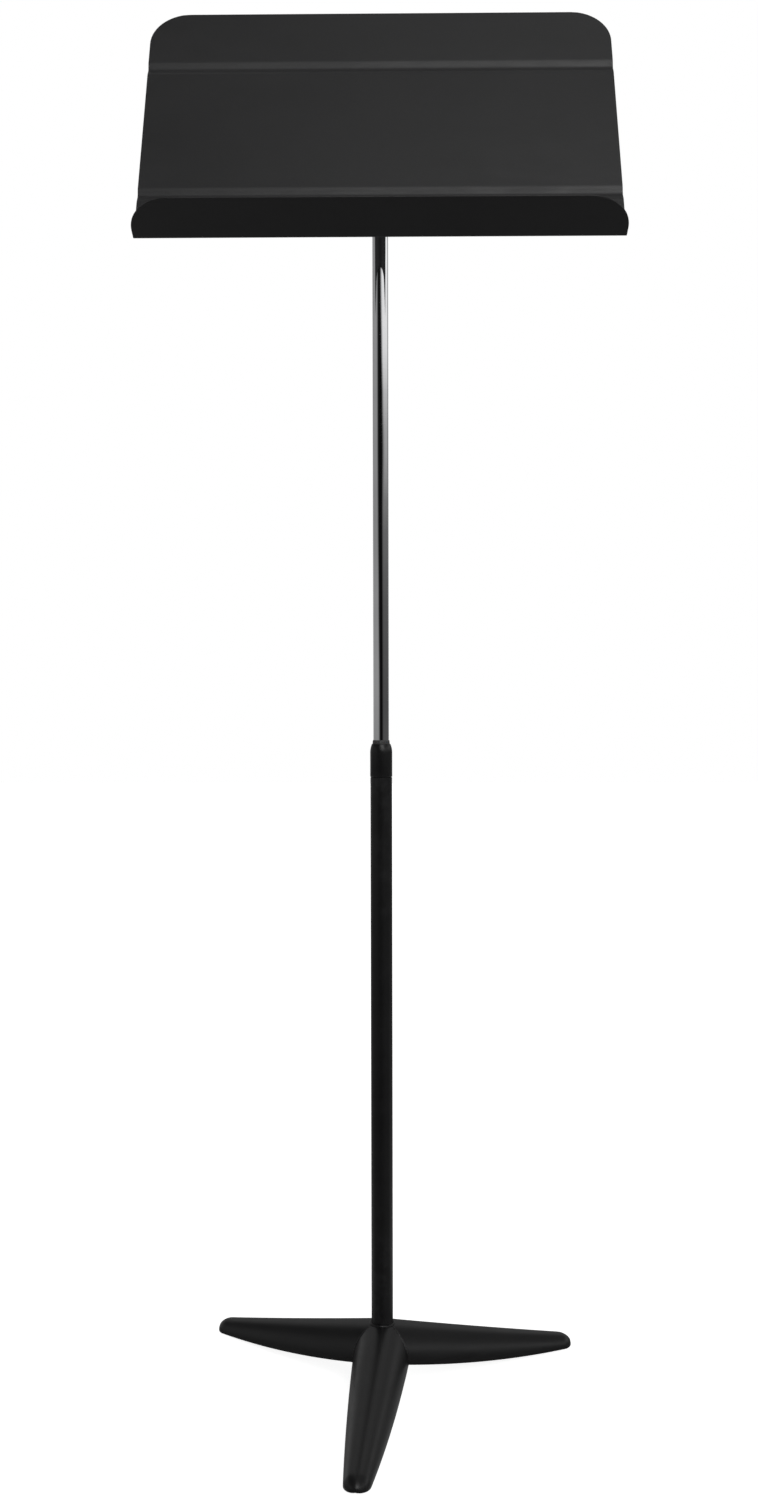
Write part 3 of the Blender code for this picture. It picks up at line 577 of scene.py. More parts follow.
def build_column():
    """The tube, its collar with the rounded shoulder, the bushing's lip and the chrome shaft."""
    tube_low, tube_high = heights("outer_tube")
    cap_low, cap_high = heights("tube_cap")
    bush_low, bush_high = heights("guide_bushing")
    shaft_low, shaft_high = heights("inner_shaft")
    skirt = CAP_RADIUS - CAP_WALL
    neck = skirt - GAP
    step = cap_low - GAP
    turned("column_tube", [
        (TUBE_RADIUS - TUBE_ROUND, tube_low), (TUBE_RADIUS, tube_low + TUBE_ROUND),
        (TUBE_RADIUS, TUBE_MIDDLE[0]), (TUBE_RADIUS, TUBE_MIDDLE[1]),
        (TUBE_RADIUS, step - GAP - TUBE_STEP_ROUND), (TUBE_RADIUS - TUBE_STEP_ROUND, step - GAP),
        (neck, step), (neck, tube_high), (TUBE_BORE, tube_high), (TUBE_BORE, tube_low),
    ], "steel_black", "base", ["outer_tube"])
    shoulder = tube_high + 0.5 * MM
    rise = cap_high - shoulder
    lip = CAP_MOUTH + CAP_MOUTH_ROUND
    profile = [(skirt, cap_low), (CAP_RADIUS - 0.12 * MM, cap_low + FINE_EDGE),
               (CAP_RADIUS, cap_low + 0.5 * MM), (CAP_RADIUS, shoulder - 2.0 * MM)]
    inner_power, outer_power = CAP_SHOULDER_POWERS
    for index in range(CAP_STEPS + 1):
        t = index / CAP_STEPS
        profile.append((lip + (CAP_RADIUS - lip) * (1 - t ** inner_power) ** outer_power,
                        shoulder - 1.0 * MM + (rise + 0.8 * MM) * t))
    profile += [(CAP_MOUTH + 0.2 * MM, cap_high), (CAP_MOUTH, cap_high - FINE_EDGE),
                (CAP_MOUTH, tube_high + GAP), (skirt, tube_high + GAP)]
    turned("column_cap", profile, "steel_black", "base", ["tube_cap"], sharp=50.0)
    bore = SHAFT_RADIUS + GAP
    turned("column_bushing", [
        (TUBE_BORE - GAP, bush_low), (TUBE_BORE - GAP, tube_high), (BUSHING_LIP, tube_high),
        *((BUSHING_LIP - inset, bush_high - depth) for inset, depth in BUSHING_TAPER),
        (bore + FINE_EDGE, bush_high), (bore, bush_high - FINE_EDGE), (bore, bush_low),
    ], "nylon_grey", "base", ["guide_bushing"], sharp=50.0)
    turned("shaft_tube", [
        (SHAFT_RADIUS - SHAFT_ROUND, shaft_low), (SHAFT_RADIUS, shaft_low + SHAFT_ROUND),
        (SHAFT_RADIUS, SHAFT_MIDDLE[0]), (SHAFT_RADIUS, SHAFT_MIDDLE[1]),
        (SHAFT_RADIUS, shaft_high - SHAFT_ROUND), (SHAFT_RADIUS - SHAFT_ROUND, shaft_high),
        (SHAFT_BORE, shaft_high), (SHAFT_BORE, shaft_low),
    ], "chrome", "shaft", ["inner_shaft"], segments=128)


build_column()

# Base ---------------------------------------------------------------------------------------------

LEG_REACH = 237.4 * MM
LEG_TURN = math.radians(-5.65)
LEG_STEEL = 2.0 * MM
LEG_NOSE = 14.0 * MM
LEG_NOSE_RISE = 2.0 * MM
LEG_NOSE_FULLNESS = 0.68
LEG_STATIONS = (20.0 * MM, 110.0 * MM, 200.0 * MM)
LEG_HALF_WIDTHS = (30.5 * MM, 24.6 * MM, 16.3 * MM)
LEG_RIMS = (27.1 * MM, 11.9 * MM, 2.8 * MM)
LEG_CRESTS = (64.2 * MM, 42.1 * MM, 21.0 * MM)
MITRE_GAP = 0.15 * MM
LEG_RUN = 64
LEG_NOSE_STEPS = 16
LEG_ACROSS = 64
LEG_RUN_EASE = 0.35
LEG_EDGE_ROUND = 0.5 * MM
SIXTH_TURN = math.radians(60)
START_GUESS = 15.0 * MM
START_ROUNDS = 12


def through(values, at):
    """The parabola through the three leg stations."""
    total = 0.0
    for i, (station, value) in enumerate(zip(LEG_STATIONS, values)):
        weight = 1.0
        for j, other in enumerate(LEG_STATIONS):
            if j != i:
                weight *= (at - other) / (station - other)
        total += weight * value
    return total


def leg_point(station, angle, inset):
    """A point of a leg's skin at a distance along it and an angle over it from rim to rim."""
    reach = LEG_REACH - inset
    straight = LEG_REACH - LEG_NOSE
    along_nose = min(1.0, max(0.0, (station - straight) / (reach - straight)))
    nose = math.sqrt(max(0.0, 1.0 - along_nose ** 2))
    half_width = (through(LEG_HALF_WIDTHS, station) - inset) * nose
    rim = through(LEG_RIMS, station)
    height = through(LEG_CRESTS, station) - inset - rim
    rise = LEG_NOSE_RISE * (1.0 - nose)
    crest = (height - rise) * nose ** LEG_NOSE_FULLNESS
    return half_width * math.cos(angle), rim + rise + crest * math.sin(angle)


def leg_start(angle, inset):
    """Where a leg's skin meets its neighbour or the tube, closed in on step by step."""
    apex = MITRE_GAP / math.sin(SIXTH_TURN)
    bore = TUBE_RADIUS + GAP
    station = START_GUESS
    for _ in range(START_ROUNDS):
        across = abs(leg_point(station, angle, inset)[0])
        round_tube = math.sqrt(bore ** 2 - across ** 2) if across < bore else 0.0
        station = max(apex + across / math.tan(SIXTH_TURN), round_tube)
    return station


def leg_skin(bm, inset):
    """Rows of vertices from rim to rim, each from the hub to the tip."""
    reach = LEG_REACH - inset
    straight = LEG_REACH - LEG_NOSE
    rows = []
    for k in range(LEG_ACROSS + 1):
        angle = math.pi * k / LEG_ACROSS
        start = leg_start(angle, inset)
        row = []
        for i in range(LEG_RUN + 1):
            t = i / LEG_RUN
            station = start + (straight - start) * (LEG_RUN_EASE * t * t + (1 - LEG_RUN_EASE) * t)
            across, height = leg_point(station, angle, inset)
            row.append(bm.verts.new((station, across, height)))
        for i in range(1, LEG_NOSE_STEPS):
            station = straight + (reach - straight) * math.sin(math.pi / 2 * i / LEG_NOSE_STEPS)
            across, height = leg_point(station, angle, inset)
            row.append(bm.verts.new((station, across, height)))
        rows.append(row)
    tip = bm.verts.new((reach, 0.0, leg_point(reach, 0.0, inset)[1]))
    for row in rows:
        row.append(tip)
    return rows


def face(bm, *corners):
    """Adds a face, with corners that fall together counted once."""
    unique = list(dict.fromkeys(corners))
    if len(unique) > 2:
        bm.faces.new(unique)


def build_leg(side, turn):
    """A pressed leg: an outer and an inner skin, joined along the rims and at the mitre."""
    bm = bmesh.new()
    outer, inner = leg_skin(bm, 0.0), leg_skin(bm, LEG_STEEL)
    count = len(outer[0])
    for k in range(LEG_ACROSS):
        for i in range(count - 1):
            for skin in (outer, inner):
                face(bm, skin[k][i], skin[k + 1][i], skin[k + 1][i + 1], skin[k][i + 1])
        face(bm, outer[k][0], outer[k + 1][0], inner[k + 1][0], inner[k][0])
    for k in (0, LEG_ACROSS):
        for i in range(count - 1):
            face(bm, outer[k][i], outer[k][i + 1], inner[k][i + 1], inner[k][i])
    bm.transform(COLUMN @ Matrix.Rotation(turn, 4, "Z"))
    piece = make_piece(f"leg_shell_{side}", bm, "steel_black", "base", [f"leg_{side}"], sharp=50.0)
    soften(piece, LEG_EDGE_ROUND, 3, 55.0)


def hub_point(radius, turn):
    """A point on top of the hub, at a distance from the column's axis and an angle from a leg."""
    station, across = radius * math.cos(turn), radius * math.sin(turn)
    over = math.sqrt(max(0.0, 1.0 - (across / through(LEG_HALF_WIDTHS, station)) ** 2))
    rim = through(LEG_RIMS, station)
    return rim + (through(LEG_CRESTS, station) - rim) * over


WELD_RING_STEPS = 108
WELD_VALLEY_STEPS = 40
RING_BEAD = 1.7 * MM
RING_BEAD_SINK = 0.4 * MM
VALLEY_BEAD = 1.3 * MM
VALLEY_BEAD_SINK = 0.7 * MM
VALLEY_SEED = 7.0


def build_welds(turns):
    """The bead round the tube's foot and the three beads in the valleys between the legs."""
    bm = bmesh.new()
    ring_radius = TUBE_RADIUS + 0.5 * MM
    ring = []
    for index in range(WELD_RING_STEPS):
        angle = math.tau * index / WELD_RING_STEPS
        nearest = min(turns, key=lambda turn: -math.cos(angle - turn))
        height = hub_point(ring_radius, angle - nearest) - RING_BEAD_SINK
        ring.append(Vector((ring_radius * math.cos(angle), AXIS_Y + ring_radius * math.sin(angle), height)))
    add_bead(bm, ring, RING_BEAD, ripple=0.10, closed=True, seed=0.0)
    far = through(LEG_HALF_WIDTHS, 17.0 * MM) / math.sin(SIXTH_TURN) - 0.5 * MM
    for number, turn in enumerate(turns):
        valley = turn + SIXTH_TURN
        path = []
        for index in range(WELD_VALLEY_STEPS + 1):
            radius = ring_radius + (far - ring_radius) * math.sin(math.pi / 2 * index / WELD_VALLEY_STEPS)
            height = hub_point(radius, SIXTH_TURN) - VALLEY_BEAD_SINK
            path.append(Vector((radius * math.cos(valley), AXIS_Y + radius * math.sin(valley), height)))
        add_bead(bm, path, VALLEY_BEAD, ripple=0.12, closed=False, seed=VALLEY_SEED + number)
    make_piece("hub_welds", bm, "steel_black", "base", sharp=80.0)


LEG_TURNS = {side: -math.pi / 2 + LEG_TURN + sixths * math.pi / 3
             for side, sixths in (("front", 0), ("right", 2), ("left", -2))}
for leg_side, leg_turn in LEG_TURNS.items():
    build_leg(leg_side, leg_turn)
build_welds(list(LEG_TURNS.values()))

FOOT_RADIUS = 10.5 * MM
FOOT_REACH = 208.0 * MM
FOOT_TOP = 9.5 * MM
FOOT_RECESS = 5.0 * MM
FOOT_RECESS_DEPTH = 4.5 * MM
FOOT_RECESS_ROUND = 0.5 * MM
FOOT_RIVET = 2.4 * MM
FOOT_LOWER_ROUND = 1.2 * MM
FOOT_UPPER_ROUND = 0.8 * MM
FOOT_RIVET_HEAD = 4.5 * MM
FOOT_RIVET_DOME = 1.2 * MM
FOOT_RIVET_ABOVE = 2.9 * MM
FOOT_RIVET_CLENCH = ((3.8 * MM, 0.0), (3.2 * MM, 0.8 * MM), (1.2 * MM, 1.3 * MM))
FOOT_TAB_ROUND = 0.4 * MM


def dome_profile(radius, rise, height, angles):
    """Rings of a low dome that bulges down from a height, from its middle outwards."""
    turns = (math.radians(angle) for angle in angles)
    return [(radius * math.sin(turn), height - rise * math.cos(turn)) for turn in turns]


def build_foot(side, turn):
    """The moulded pad with its rounded rims, and the rivet's domed head in its recess."""
    place = COLUMN @ Matrix.Rotation(turn, 4, "Z") @ Matrix.Translation((FOOT_REACH, 0.0, 0.0))
    hole = FOOT_RIVET + GAP
    lower, upper = FOOT_LOWER_ROUND, FOOT_UPPER_ROUND
    profile = arc((FOOT_RADIUS - lower, lower), lower, -90, 0, 6)
    profile += arc((FOOT_RADIUS - upper, FOOT_TOP - upper), upper, 0, 90, 5)
    profile += [(hole, FOOT_TOP), (hole, FOOT_RECESS_DEPTH), (FOOT_RECESS, FOOT_RECESS_DEPTH),
                (FOOT_RECESS, FOOT_RECESS_ROUND), (FOOT_RECESS + FINE_EDGE, FINE_EDGE),
                (FOOT_RECESS + FOOT_RECESS_ROUND, 0.0)]
    turned(f"foot_rubber_{side}", profile, "rubber", "base", [f"foot_pad_{side}"], place, sharp=50.0)
    top = FOOT_RECESS_DEPTH - GAP
    head = dome_profile(FOOT_RIVET_HEAD, FOOT_RIVET_DOME, top, range(6, 91, 12))
    shank_top = FOOT_TOP + FOOT_RIVET_ABOVE
    head += [(FOOT_RIVET, top), (FOOT_RIVET, shank_top)]
    head += [(radius, shank_top + rise) for radius, rise in FOOT_RIVET_CLENCH]
    turned(f"foot_fixing_{side}", head, "zinc", "base", [f"foot_rivet_{side}"], place, hollow=False,
           segments=48, sharp=50.0)
    soften(NODES[f"foot_tab_{side}"], FOOT_TAB_ROUND)


for leg_side, leg_turn in LEG_TURNS.items():
    build_foot(leg_side, leg_turn)

HUB_PLATE_RADIUS = 29.0 * MM
HUB_PLATE_ROUND = 0.5 * MM
HUB_HOLE = 3.3 * MM
BASE_WASHER_RADIUS = 9.0 * MM
BASE_BOLT_HALF = 5.0 * MM
BASE_BOLT_HEAD = 4.0 * MM
BASE_BOLT_SHANK = 3.0 * MM


def build_hub():
    """What shows from below: the plate, the washer and the bolt's hexagon head."""
    low, high = heights("hub_plate")
    radius, edge = HUB_PLATE_RADIUS, HUB_PLATE_ROUND
    turned("hub_disc", [(radius - edge, low), (radius, low + edge), (radius, high - edge),
                        (radius - edge, high), (HUB_HOLE, high), (HUB_HOLE, low)],
           "zinc", "base", ["hub_plate"], segments=128)
    low, high = heights("base_washer")
    radius = BASE_WASHER_RADIUS
    turned("hub_washer", [(radius - 0.3 * MM, low), (radius, low + 0.3 * MM), (radius, high),
                          (HUB_HOLE, high), (HUB_HOLE, low + 0.2 * MM), (HUB_HOLE + 0.2 * MM, low)],
           "zinc", "base", ["base_washer"])
    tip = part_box("base_bolt")[1].z
    bolt = hex_bolt_profile(BASE_BOLT_HALF, BASE_BOLT_HEAD, BASE_BOLT_SHANK, low - GAP, tip)
    turned("hub_bolt", bolt, "zinc", "base", ["base_bolt"], hollow=False, sharp=30.0)


HEX_SIDES = 6
HEX_STEPS = 5
HEX_CORNER = 1 / math.cos(math.pi / HEX_SIDES)
HEX_FACE_EDGE = 0.1 * MM
BOLT_CHAMFER = 0.5 * MM
BOLT_DISH = ((0.55, 0.15 * MM), (0.62, 0.0))
THREAD_PITCH = 1.25 * MM
THREAD_TURN = ((0.0, 0.1 * MM), (0.0, 0.25 * MM), (0.55 * MM, 0.7 * MM), (0.0, 1.2 * MM))
BOLT_POINT = 0.6 * MM


def hex_bolt_profile(half, height, shank, seat, tip, thread=0.0):
    """Rings of a hexagon-head bolt: a dished, chamfered head, a shank and a threaded end."""
    bottom = seat - height
    corner = half * HEX_CORNER
    flat = half - HEX_FACE_EDGE
    rings = [(share * half, bottom + depth) for share, depth in BOLT_DISH] + [(flat, bottom)]
    for step in range(1, HEX_STEPS + 1):
        part = step / HEX_STEPS
        rings.append((half, bottom + BOLT_CHAMFER * part, HEX_SIDES, flat + (corner - flat) * part))
    rings += [(half, seat - 0.2 * MM, HEX_SIDES, corner),
              (half - 0.2 * MM, seat, HEX_SIDES, corner - 0.3 * MM), (shank, seat)]
    turns = int(thread / THREAD_PITCH)
    start = tip - BOLT_POINT - turns * THREAD_PITCH
    for index in range(turns):
        foot = start + index * THREAD_PITCH
        rings += [(shank - depth, foot + rise) for depth, rise in THREAD_TURN]
    rings += [(shank, tip - BOLT_POINT), (shank - BOLT_POINT, tip)]
    return rings


build_hub()

# Tilt joint ---------------------------------------------------------------------------------------

HEAD_HALF = 7.0 * MM
HEAD_CROWN = 12.0 * MM
HEAD_FOOT = 8.0 * MM
SHAFT_BELOW_PIVOT = 16.3 * MM
WASHER_FIBRE = 2.0 * MM
BRACKET_STEEL = 2.8 * MM
PIVOT_BOLT = 4.0 * MM
EAR_CROWN = 13.0 * MM
EAR_HALF_HEIGHT = 17.0 * MM
PLATE_HALF_WIDTH = 33.0 * MM
PLATE_LOW = -19.5 * MM
PLATE_HIGH = 38.0 * MM
PLATE_CORNER = 6.0 * MM
PLATE_NEAR = GAP - PIVOT_BEHIND
PLATE_FAR = PLATE_NEAR + BRACKET_STEEL
RIVET_ACROSS = 24.0 * MM
RIVET_ROWS = (-12.0 * MM, 30.0 * MM)
EAR_NEAR = HEAD_HALF + WASHER_FIBRE + 2 * GAP
EAR_FAR = EAR_NEAR + BRACKET_STEEL
PLUG_LENGTH = 27.0 * MM
HEAD_COLLAR = SHAFT_RADIUS - 0.4 * MM
HEAD_ROUND = 0.7 * MM
PIN_BELOW = 14.0 * MM
PIN_RADIUS = 1.5 * MM
PIN_DOME = 0.35 * MM
UPRIGHT_X = Matrix(((0, 0, 1, 0), (1, 0, 0, 0), (0, 1, 0, 0), (0, 0, 0, 1)))
UPRIGHT_Y = Matrix(((1, 0, 0, 0), (0, 0, 1, 0), (0, 1, 0, 0), (0, 0, 0, 1)))


def build_head():
    """The tongue on top of the shaft, its collar and plug, and the pin across them."""
    bm = bmesh.new()
    at_pivot = Matrix.Translation(PIVOT)
    foot = GAP - SHAFT_BELOW_PIVOT
    outline = [(-HEAD_FOOT, foot), (HEAD_FOOT, foot)] + arc((0, 0), HEAD_CROWN, -20, 200, 60)
    add_prism(bm, outline, -HEAD_HALF, HEAD_HALF, at_pivot @ UPRIGHT_X)
    piece = make_piece("head_tongue", bm, "steel_black", "shaft", ["tilt_head"], sharp=35.0)
    soften(piece, HEAD_ROUND, 3, 50.0)
    plug = SHAFT_BORE - GAP
    turned("head_plug", [(plug - 1.0 * MM, foot - PLUG_LENGTH), (plug, foot - PLUG_LENGTH + 1.0 * MM),
                         (plug, foot - 0.5 * MM), (HEAD_COLLAR, foot - 0.2 * MM),
                         (HEAD_COLLAR, foot + 1.0 * MM)],
           "steel_black", "shaft", place=at_pivot, hollow=False)
    pin_place = Matrix.Translation(PIVOT - Vector((0.0, 0.0, SHAFT_BELOW_PIVOT + PIN_BELOW))) @ ALONG_Y
    dome = dome_profile(PIN_RADIUS, PIN_DOME, -SHAFT_RADIUS, range(10, 91, 16))
    far_dome = [(radius, -height) for radius, height in reversed(dome)]
    turned("head_dowel", dome + far_dome, "zinc", "shaft", ["head_pin"], pin_place, hollow=False,
           segments=40, sharp=50.0)


def rounded_rectangle(low_x, high_x, low_y, high_y, radius, steps=10):
    """Outline of a rectangle with four equal round corners."""
    centres = ((high_x - radius, low_y + radius), (high_x - radius, high_y - radius),
               (low_x + radius, high_y - radius), (low_x + radius, low_y + radius))
    outline = []
    for quarter, centre in enumerate(centres):
        outline += arc(centre, radius, 90 * quarter - 90, 90 * quarter, steps)
    return outline


BRACKET_ROUND = 0.6 * MM
EAR_BEAD = 1.5 * MM
EAR_BEAD_STEPS = 60
EAR_SEED = 20.0


def build_bracket():
    """The plate and its two ears, with the weld beads at the ears' roots."""
    bm = bmesh.new()
    outline = rounded_rectangle(-PLATE_HALF_WIDTH, PLATE_HALF_WIDTH, PLATE_LOW, PLATE_HIGH, PLATE_CORNER)
    add_prism(bm, outline, PLATE_NEAR, PLATE_FAR, DESK_TURN @ UPRIGHT_Y)
    root = PLATE_NEAR + BRACKET_STEEL / 2
    ear = [(root, -EAR_HALF_HEIGHT)] + arc((0, 0), EAR_CROWN, -70, 70, 40) + [(root, EAR_HALF_HEIGHT)]
    for side in (-1, 1):
        low, high = sorted((side * EAR_NEAR, side * EAR_FAR))
        add_prism(bm, ear, low, high, DESK_TURN @ UPRIGHT_X)
    piece = make_piece("bracket_steel", bm, "steel_black", "desk", ["tilt_bracket"], sharp=35.0)
    soften(piece, BRACKET_ROUND, 3, 50.0)
    beads = bmesh.new()
    for number, x in enumerate((-EAR_FAR, EAR_FAR)):
        path = []
        for index in range(EAR_BEAD_STEPS + 1):
            z = (EAR_HALF_HEIGHT - 2.0 * MM) * (2 * index / EAR_BEAD_STEPS - 1)
            path.append(DESK_TURN @ Vector((x, PLATE_FAR, z)))
        add_bead(beads, path, EAR_BEAD, ripple=0.10, closed=False, seed=EAR_SEED + number)
    make_piece("bracket_welds", beads, "steel_black", "desk", sharp=80.0)


RIVET_SHANK = 2.4 * MM
RIVET_TAIL = 4.0 * MM
RIVET_TAIL_RISE = 1.6 * MM


def build_rivets():
    """Domed rivet tails on the bracket; their heads are under the coat on the desk's face."""
    seat = PLATE_FAR + 0.1 * MM
    profile = [(RIVET_SHANK, -PIVOT_BEHIND - SHEET + 0.4 * MM), (RIVET_SHANK, seat),
               (RIVET_TAIL - 0.1 * MM, seat)]
    for angle in range(2, 87, 12):
        turn = math.radians(angle)
        profile.append((RIVET_TAIL * math.cos(turn),
                        PLATE_FAR + 0.4 * MM + RIVET_TAIL_RISE * math.sin(turn)))
    number = 0
    for row in RIVET_ROWS:
        for side in (-1, 1):
            number += 1
            place = DESK_TURN @ Matrix.Translation((side * RIVET_ACROSS, 0.0, row)) @ ALONG_Y
            turned(f"rivet_tail_{number}", profile, "steel_black", "desk", [f"bracket_rivet_{number}"],
                   place, hollow=False, segments=48, sharp=50.0)


FIBRE_RADIUS = 11.0 * MM
CUP_RADIUS = 8.5 * MM
CUP_HEIGHT = 2.6 * MM
CUP_RIM = 1.05 * MM
CUP_EDGE = 0.25 * MM
CUP_STEPS = 8
PLAIN_THICK = 1.6 * MM
NUT_HALF = 6.5 * MM
NUT_HEIGHT = 8.0 * MM
NUT_HEX_TOP = 3.2 * MM
NUT_CHAMFER = 0.5 * MM
NUT_TOP_CHAMFER = 0.7 * MM
NUT_COLLAR = ((5.9 * MM, 2.3 * MM), (5.8 * MM, 1.0 * MM), (5.5 * MM, 0.3 * MM), (5.0 * MM, 0.0))
PIVOT_HEAD = 5.3 * MM
PIVOT_PAST_NUT = 3.0 * MM
PIVOT_THREAD = 7.5 * MM


def ring_profile(inner, outer, low, high, edge):
    """A flat ring with its four edges cut back."""
    return [(outer - edge, low), (outer, low + edge), (outer, high - edge), (outer - edge, high),
            (inner + edge, high), (inner, high - edge), (inner, low + edge), (inner + edge, low)]


def spring_profile(hole, low, high):
    """A cupped spring washer: a flat rim that rises to its hole."""
    shoulder = CUP_RADIUS - CUP_EDGE
    rings = [(CUP_RADIUS, low), (CUP_RADIUS, low + CUP_RIM - CUP_EDGE), (shoulder, low + CUP_RIM)]
    for step in range(1, CUP_STEPS + 1):
        t = step / CUP_STEPS
        rings.append((shoulder - (shoulder - hole) * t,
                      low + CUP_RIM + (high - low - CUP_RIM) * math.sin(math.pi / 2 * t)))
    return rings + [(hole, high - 1.0 * MM), ((hole + CUP_RADIUS) / 2, low + 1.3 * MM)]


def nut_profile(hole, low, high):
    """A lock nut: a hexagon chamfered at both ends, with a rounded ring on top."""
    corner = NUT_HALF * HEX_CORNER
    flat = NUT_HALF - HEX_FACE_EDGE
    rings = [(NUT_HALF - 0.2 * MM, low)]
    for step in range(1, HEX_STEPS + 1):
        part = step / HEX_STEPS
        rings.append((NUT_HALF, low + NUT_CHAMFER * part, HEX_SIDES, flat + (corner - flat) * part))
    for step in range(HEX_STEPS + 1):
        part = step / HEX_STEPS
        rings.append((NUT_HALF, high - NUT_HEX_TOP + NUT_TOP_CHAMFER * part, HEX_SIDES,
                      corner - (corner - flat) * part))
    rings += [(radius, high - depth) for radius, depth in NUT_COLLAR]
    return rings + [(hole, high), (hole, low)]


def build_pivot():
    """The bolt, washers and nut that set the joint's friction."""
    place = DESK_TURN @ ALONG_X
    hole = PIVOT_BOLT + GAP
    fibre_low, fibre_high = HEAD_HALF + GAP, HEAD_HALF + GAP + WASHER_FIBRE
    for side, low, high in (("left", -fibre_high, -fibre_low), ("right", fibre_low, fibre_high)):
        turned(f"joint_fibre_{side}", ring_profile(hole, FIBRE_RADIUS, low, high, 0.25 * MM), "fibre",
               "desk", [f"friction_washer_{side}"], place)
    low = EAR_FAR + GAP
    high = low + CUP_HEIGHT
    turned("joint_spring", spring_profile(hole, low, high), "spring_steel", "desk", ["spring_washer"],
           place, sharp=50.0)
    low = high + GAP
    high = low + PLAIN_THICK
    turned("joint_washer", ring_profile(hole, CUP_RADIUS, low, high, 0.2 * MM), "zinc", "desk",
           ["plain_washer"], place)
    low = high + GAP
    high = low + NUT_HEIGHT
    turned("joint_nut", nut_profile(hole, low, high), "zinc", "desk", ["lock_nut"], place, sharp=30.0)
    bolt = hex_bolt_profile(NUT_HALF, PIVOT_HEAD, PIVOT_BOLT, -EAR_FAR - GAP, high + PIVOT_PAST_NUT,
                            PIVOT_THREAD)
    turned("joint_bolt", bolt, "zinc", "desk", ["pivot_bolt"], place, hollow=False, sharp=30.0)


build_head()
build_bracket()
build_rivets()
build_pivot()

# Studio -------------------------------------------------------------------------------------------

BACKDROP_WHITE = 1.0
FRONT_LEVEL = 3.25
BELOW_LEVEL = 0.13
ZENITH_LEVEL = 0.18
GLOW_LEVEL = 0.6
OPENING = math.radians(-16)
FLOOR_SIZE = 24.0
FLOOR_GREY = 0.85
FLOOR_ROUGHNESS = 0.9
FLOOR_EMISSION = 0.88


class Sky(Graph):
    """The studio round the stand, by the direction a ray leaves in: x right, y to the back, z up. Side and
    depth are x and y of the level direction."""

    def __init__(self):
        world = bpy.data.worlds.new("studio")
        bpy.context.scene.world = world
        world.use_nodes = True
        super().__init__(world.node_tree)
        self.tree.nodes.clear()
        split = self.add("ShaderNodeSeparateXYZ")
        self.link(self.add("ShaderNodeTexCoord").outputs["Generated"], split.inputs["Vector"])
        self.x, self.y, self.z = split.outputs
        flat = self.math("SQRT", self.total(self.product(self.x, self.x), self.product(self.y, self.y)))
        flat = self.math("MAXIMUM", flat, 0.001)
        self.side = self.math("DIVIDE", self.x, flat)
        self.depth = self.math("DIVIDE", self.y, flat)
        self.right = self.steps(self.side, (-0.06, 0.0), (0.06, 1.0))
        self.left = self.math("SUBTRACT", 1.0, self.right)

    def product(self, first, *others):
        for other in others:
            first = self.math("MULTIPLY", first, other)
        return first

    def total(self, first, *others):
        for other in others:
            first = self.math("ADD", first, other)
        return first

    def steps(self, source, *stops):
        """A smooth curve through (value, level) stops, values from -1 to 1 and levels from 0 to 1."""
        colors = [((value + 1.0) / 2.0, (level, level, level)) for value, level in stops]
        return self.ramp(self.remap(source, -1.0, 1.0), colors, "EASE")


def side_walls(sky):
    """A soft box on the right and a grey wall on the left, parted by a dark opening behind the camera whose
    edges move with height."""
    right_start = sky.steps(sky.z, (0.0, 0.60), (0.07, 0.50), (0.12, 0.50), (0.167, 0.73), (0.20, 0.60),
                            (0.23, 0.42), (0.27, 0.25))
    right_open = sky.steps(sky.math("SUBTRACT", sky.side, right_start), (-0.32, 0.0), (0.28, 1.0))
    box = sky.steps(sky.z, (0.0, 0.01), (0.05, 0.04), (0.115, 0.10), (0.175, 0.34), (0.24, 0.78),
                    (0.30, 0.9), (0.36, 0.8), (0.44, 0.12))
    not_back = sky.steps(sky.depth, (0.45, 1.0), (0.80, 0.0))
    left_start = sky.steps(sky.z, (0.0, 0.45), (0.07, 0.57), (0.12, 0.67), (0.17, 0.72))
    left_open = sky.steps(sky.total(sky.side, left_start), (-0.20, 1.0), (0.22, 0.0))
    wall = sky.steps(sky.z, (-0.35, 0.0), (-0.12, 0.10), (0.02, 0.28), (0.07, 0.27), (0.12, 0.235),
                     (0.17, 0.27), (0.26, 0.29), (0.36, 0.24), (0.45, 0.02))
    not_far_back = sky.steps(sky.depth, (0.90, 1.0), (0.98, 0.0))
    return sky.total(sky.product(right_open, box, not_back, sky.right),
                     sky.product(left_open, wall, not_far_back, sky.left))


def dim_room(sky):
    """The dim room all round, darkest in the opening and on the far left, and its floor."""
    toward = sky.total(sky.product(sky.side, math.sin(OPENING)), sky.product(sky.depth, -math.cos(OPENING)))
    room = sky.steps(sky.z, (-0.6, 0.13), (-0.1, 0.085), (0.1, 0.05), (0.5, 0.06))
    not_opening = sky.steps(toward, (0.80, 1.0), (0.97, 0.12))
    not_right = sky.steps(sky.side, (-0.05, 1.0), (0.05, 0.16), (0.30, 0.16), (0.62, 1.0))
    beyond = sky.steps(sky.depth, (-0.6, 0.0), (-0.2, 1.0))
    far_left = sky.steps(sky.x, (-0.75, 0.45), (-0.35, 1.0))
    room = sky.product(room, not_opening, sky.math("MAXIMUM", not_right, beyond), far_left)
    below = sky.steps(sky.z, (-0.5, 1.0), (-0.25, 0.0))
    return sky.math("MAXIMUM", room, sky.product(below, BELOW_LEVEL))


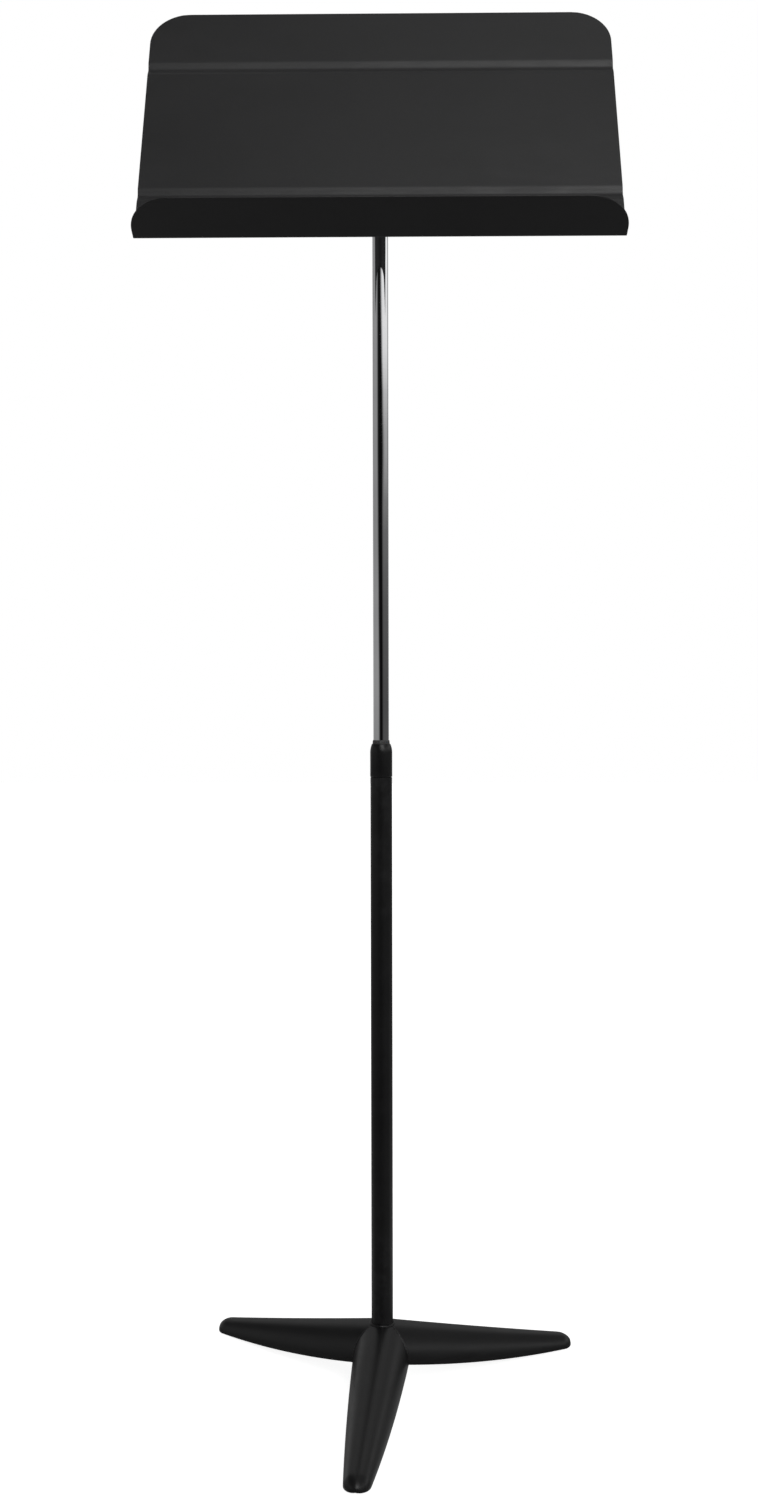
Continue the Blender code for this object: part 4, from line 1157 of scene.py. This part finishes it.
def rear_screens(sky):
    """Two grey screens behind the stand, dimmer where they meet."""
    left = sky.steps(sky.z, (-0.55, 0.0), (-0.25, 0.10), (-0.05, 0.24), (0.15, 0.28), (0.40, 0.26),
                     (0.70, 0.36), (0.93, 0.38), (0.97, 0.15))
    right = sky.steps(sky.z, (-0.50, 0.0), (-0.20, 0.12), (0.15, 0.24), (0.40, 0.30), (0.70, 0.40),
                      (0.93, 0.38), (0.97, 0.15))
    left = sky.product(left, sky.steps(sky.side, (-0.45, 1.0), (-0.10, 0.50)), sky.left)
    right = sky.product(right, sky.steps(sky.side, (0.10, 0.50), (0.40, 1.0)), sky.right)
    return sky.product(sky.total(left, right), sky.steps(sky.depth, (0.58, 0.0), (0.84, 1.0)))


def front_box(sky):
    """The main soft box, above and in front of the stand, stronger towards the right."""
    above = sky.steps(sky.z, (0.28, 0.0), (0.37, 1.0), (0.55, 0.94), (0.67, 0.80), (0.76, 0.50),
                      (0.86, 0.43), (0.92, 0.26), (0.97, 0.05))
    ahead = sky.steps(sky.depth, (-0.95, 1.0), (-0.78, 0.0))
    across = sky.steps(sky.x, (-0.25, 0.03), (-0.05, 0.46), (0.10, 0.88), (0.30, 1.0))
    return sky.product(above, ahead, across, FRONT_LEVEL)


def floor_glow(sky):
    """Light off the floor behind the stand on both sides, which shows the desk's back."""
    beside = sky.steps(sky.math("ABSOLUTE", sky.x), (0.28, 0.0), (0.55, 1.0))
    rear = sky.steps(sky.y, (0.05, 0.0), (0.30, 1.0))
    glow = sky.steps(sky.z, (-0.97, 0.2), (-0.85, 1.0), (-0.50, 1.0), (-0.28, 0.0))
    return sky.product(beside, rear, glow, GLOW_LEVEL)


def build_world():
    """A white backdrop for the camera, and the studio's lights for every other ray."""
    sky = Sky()
    zenith = sky.product(sky.steps(sky.z, (0.955, 0.0), (0.985, 1.0)), ZENITH_LEVEL)
    level = sky.total(side_walls(sky), dim_room(sky), front_box(sky), rear_screens(sky), zenith,
                      floor_glow(sky))
    seen = sky.add("ShaderNodeLightPath").outputs["Is Camera Ray"]
    shown = sky.total(sky.product(level, sky.math("SUBTRACT", 1.0, seen)),
                      sky.product(seen, BACKDROP_WHITE))
    background = sky.add("ShaderNodeBackground")
    background.inputs["Color"].default_value = (1.0, 1.0, 1.0, 1.0)
    sky.link(shown, background.inputs["Strength"])
    output = sky.add("ShaderNodeOutputWorld")
    sky.link(background.outputs["Background"], output.inputs["Surface"])


def build_floor():
    """A pale floor that fades into the backdrop and takes the stand's soft shadow. The stand doesn't see
    it: the studio round it already holds the floor's light."""
    half = FLOOR_SIZE / 2
    mesh = bpy.data.meshes.new("studio_floor")
    mesh.from_pydata([(-half, -half, 0), (half, -half, 0), (half, half, 0), (-half, half, 0)], [],
                     [(0, 1, 2, 3)])
    material = bpy.data.materials.new("studio_floor")
    material.use_nodes = True
    shader = material.node_tree.nodes["Principled BSDF"]
    shader.inputs["Base Color"].default_value = (FLOOR_GREY, FLOOR_GREY, FLOOR_GREY, 1.0)
    shader.inputs["Roughness"].default_value = FLOOR_ROUGHNESS
    shader.inputs["Emission Color"].default_value = (1.0, 1.0, 1.0, 1.0)
    shader.inputs["Emission Strength"].default_value = FLOOR_EMISSION
    mesh.materials.append(material)
    floor = bpy.data.objects.new("studio_floor", mesh)
    bpy.context.scene.collection.objects.link(floor)
    floor.visible_diffuse = False
    floor.visible_glossy = False


build_world()
build_floor()
bpy.context.scene.view_settings.view_transform = "Standard"

bpy.context.view_layer.update()
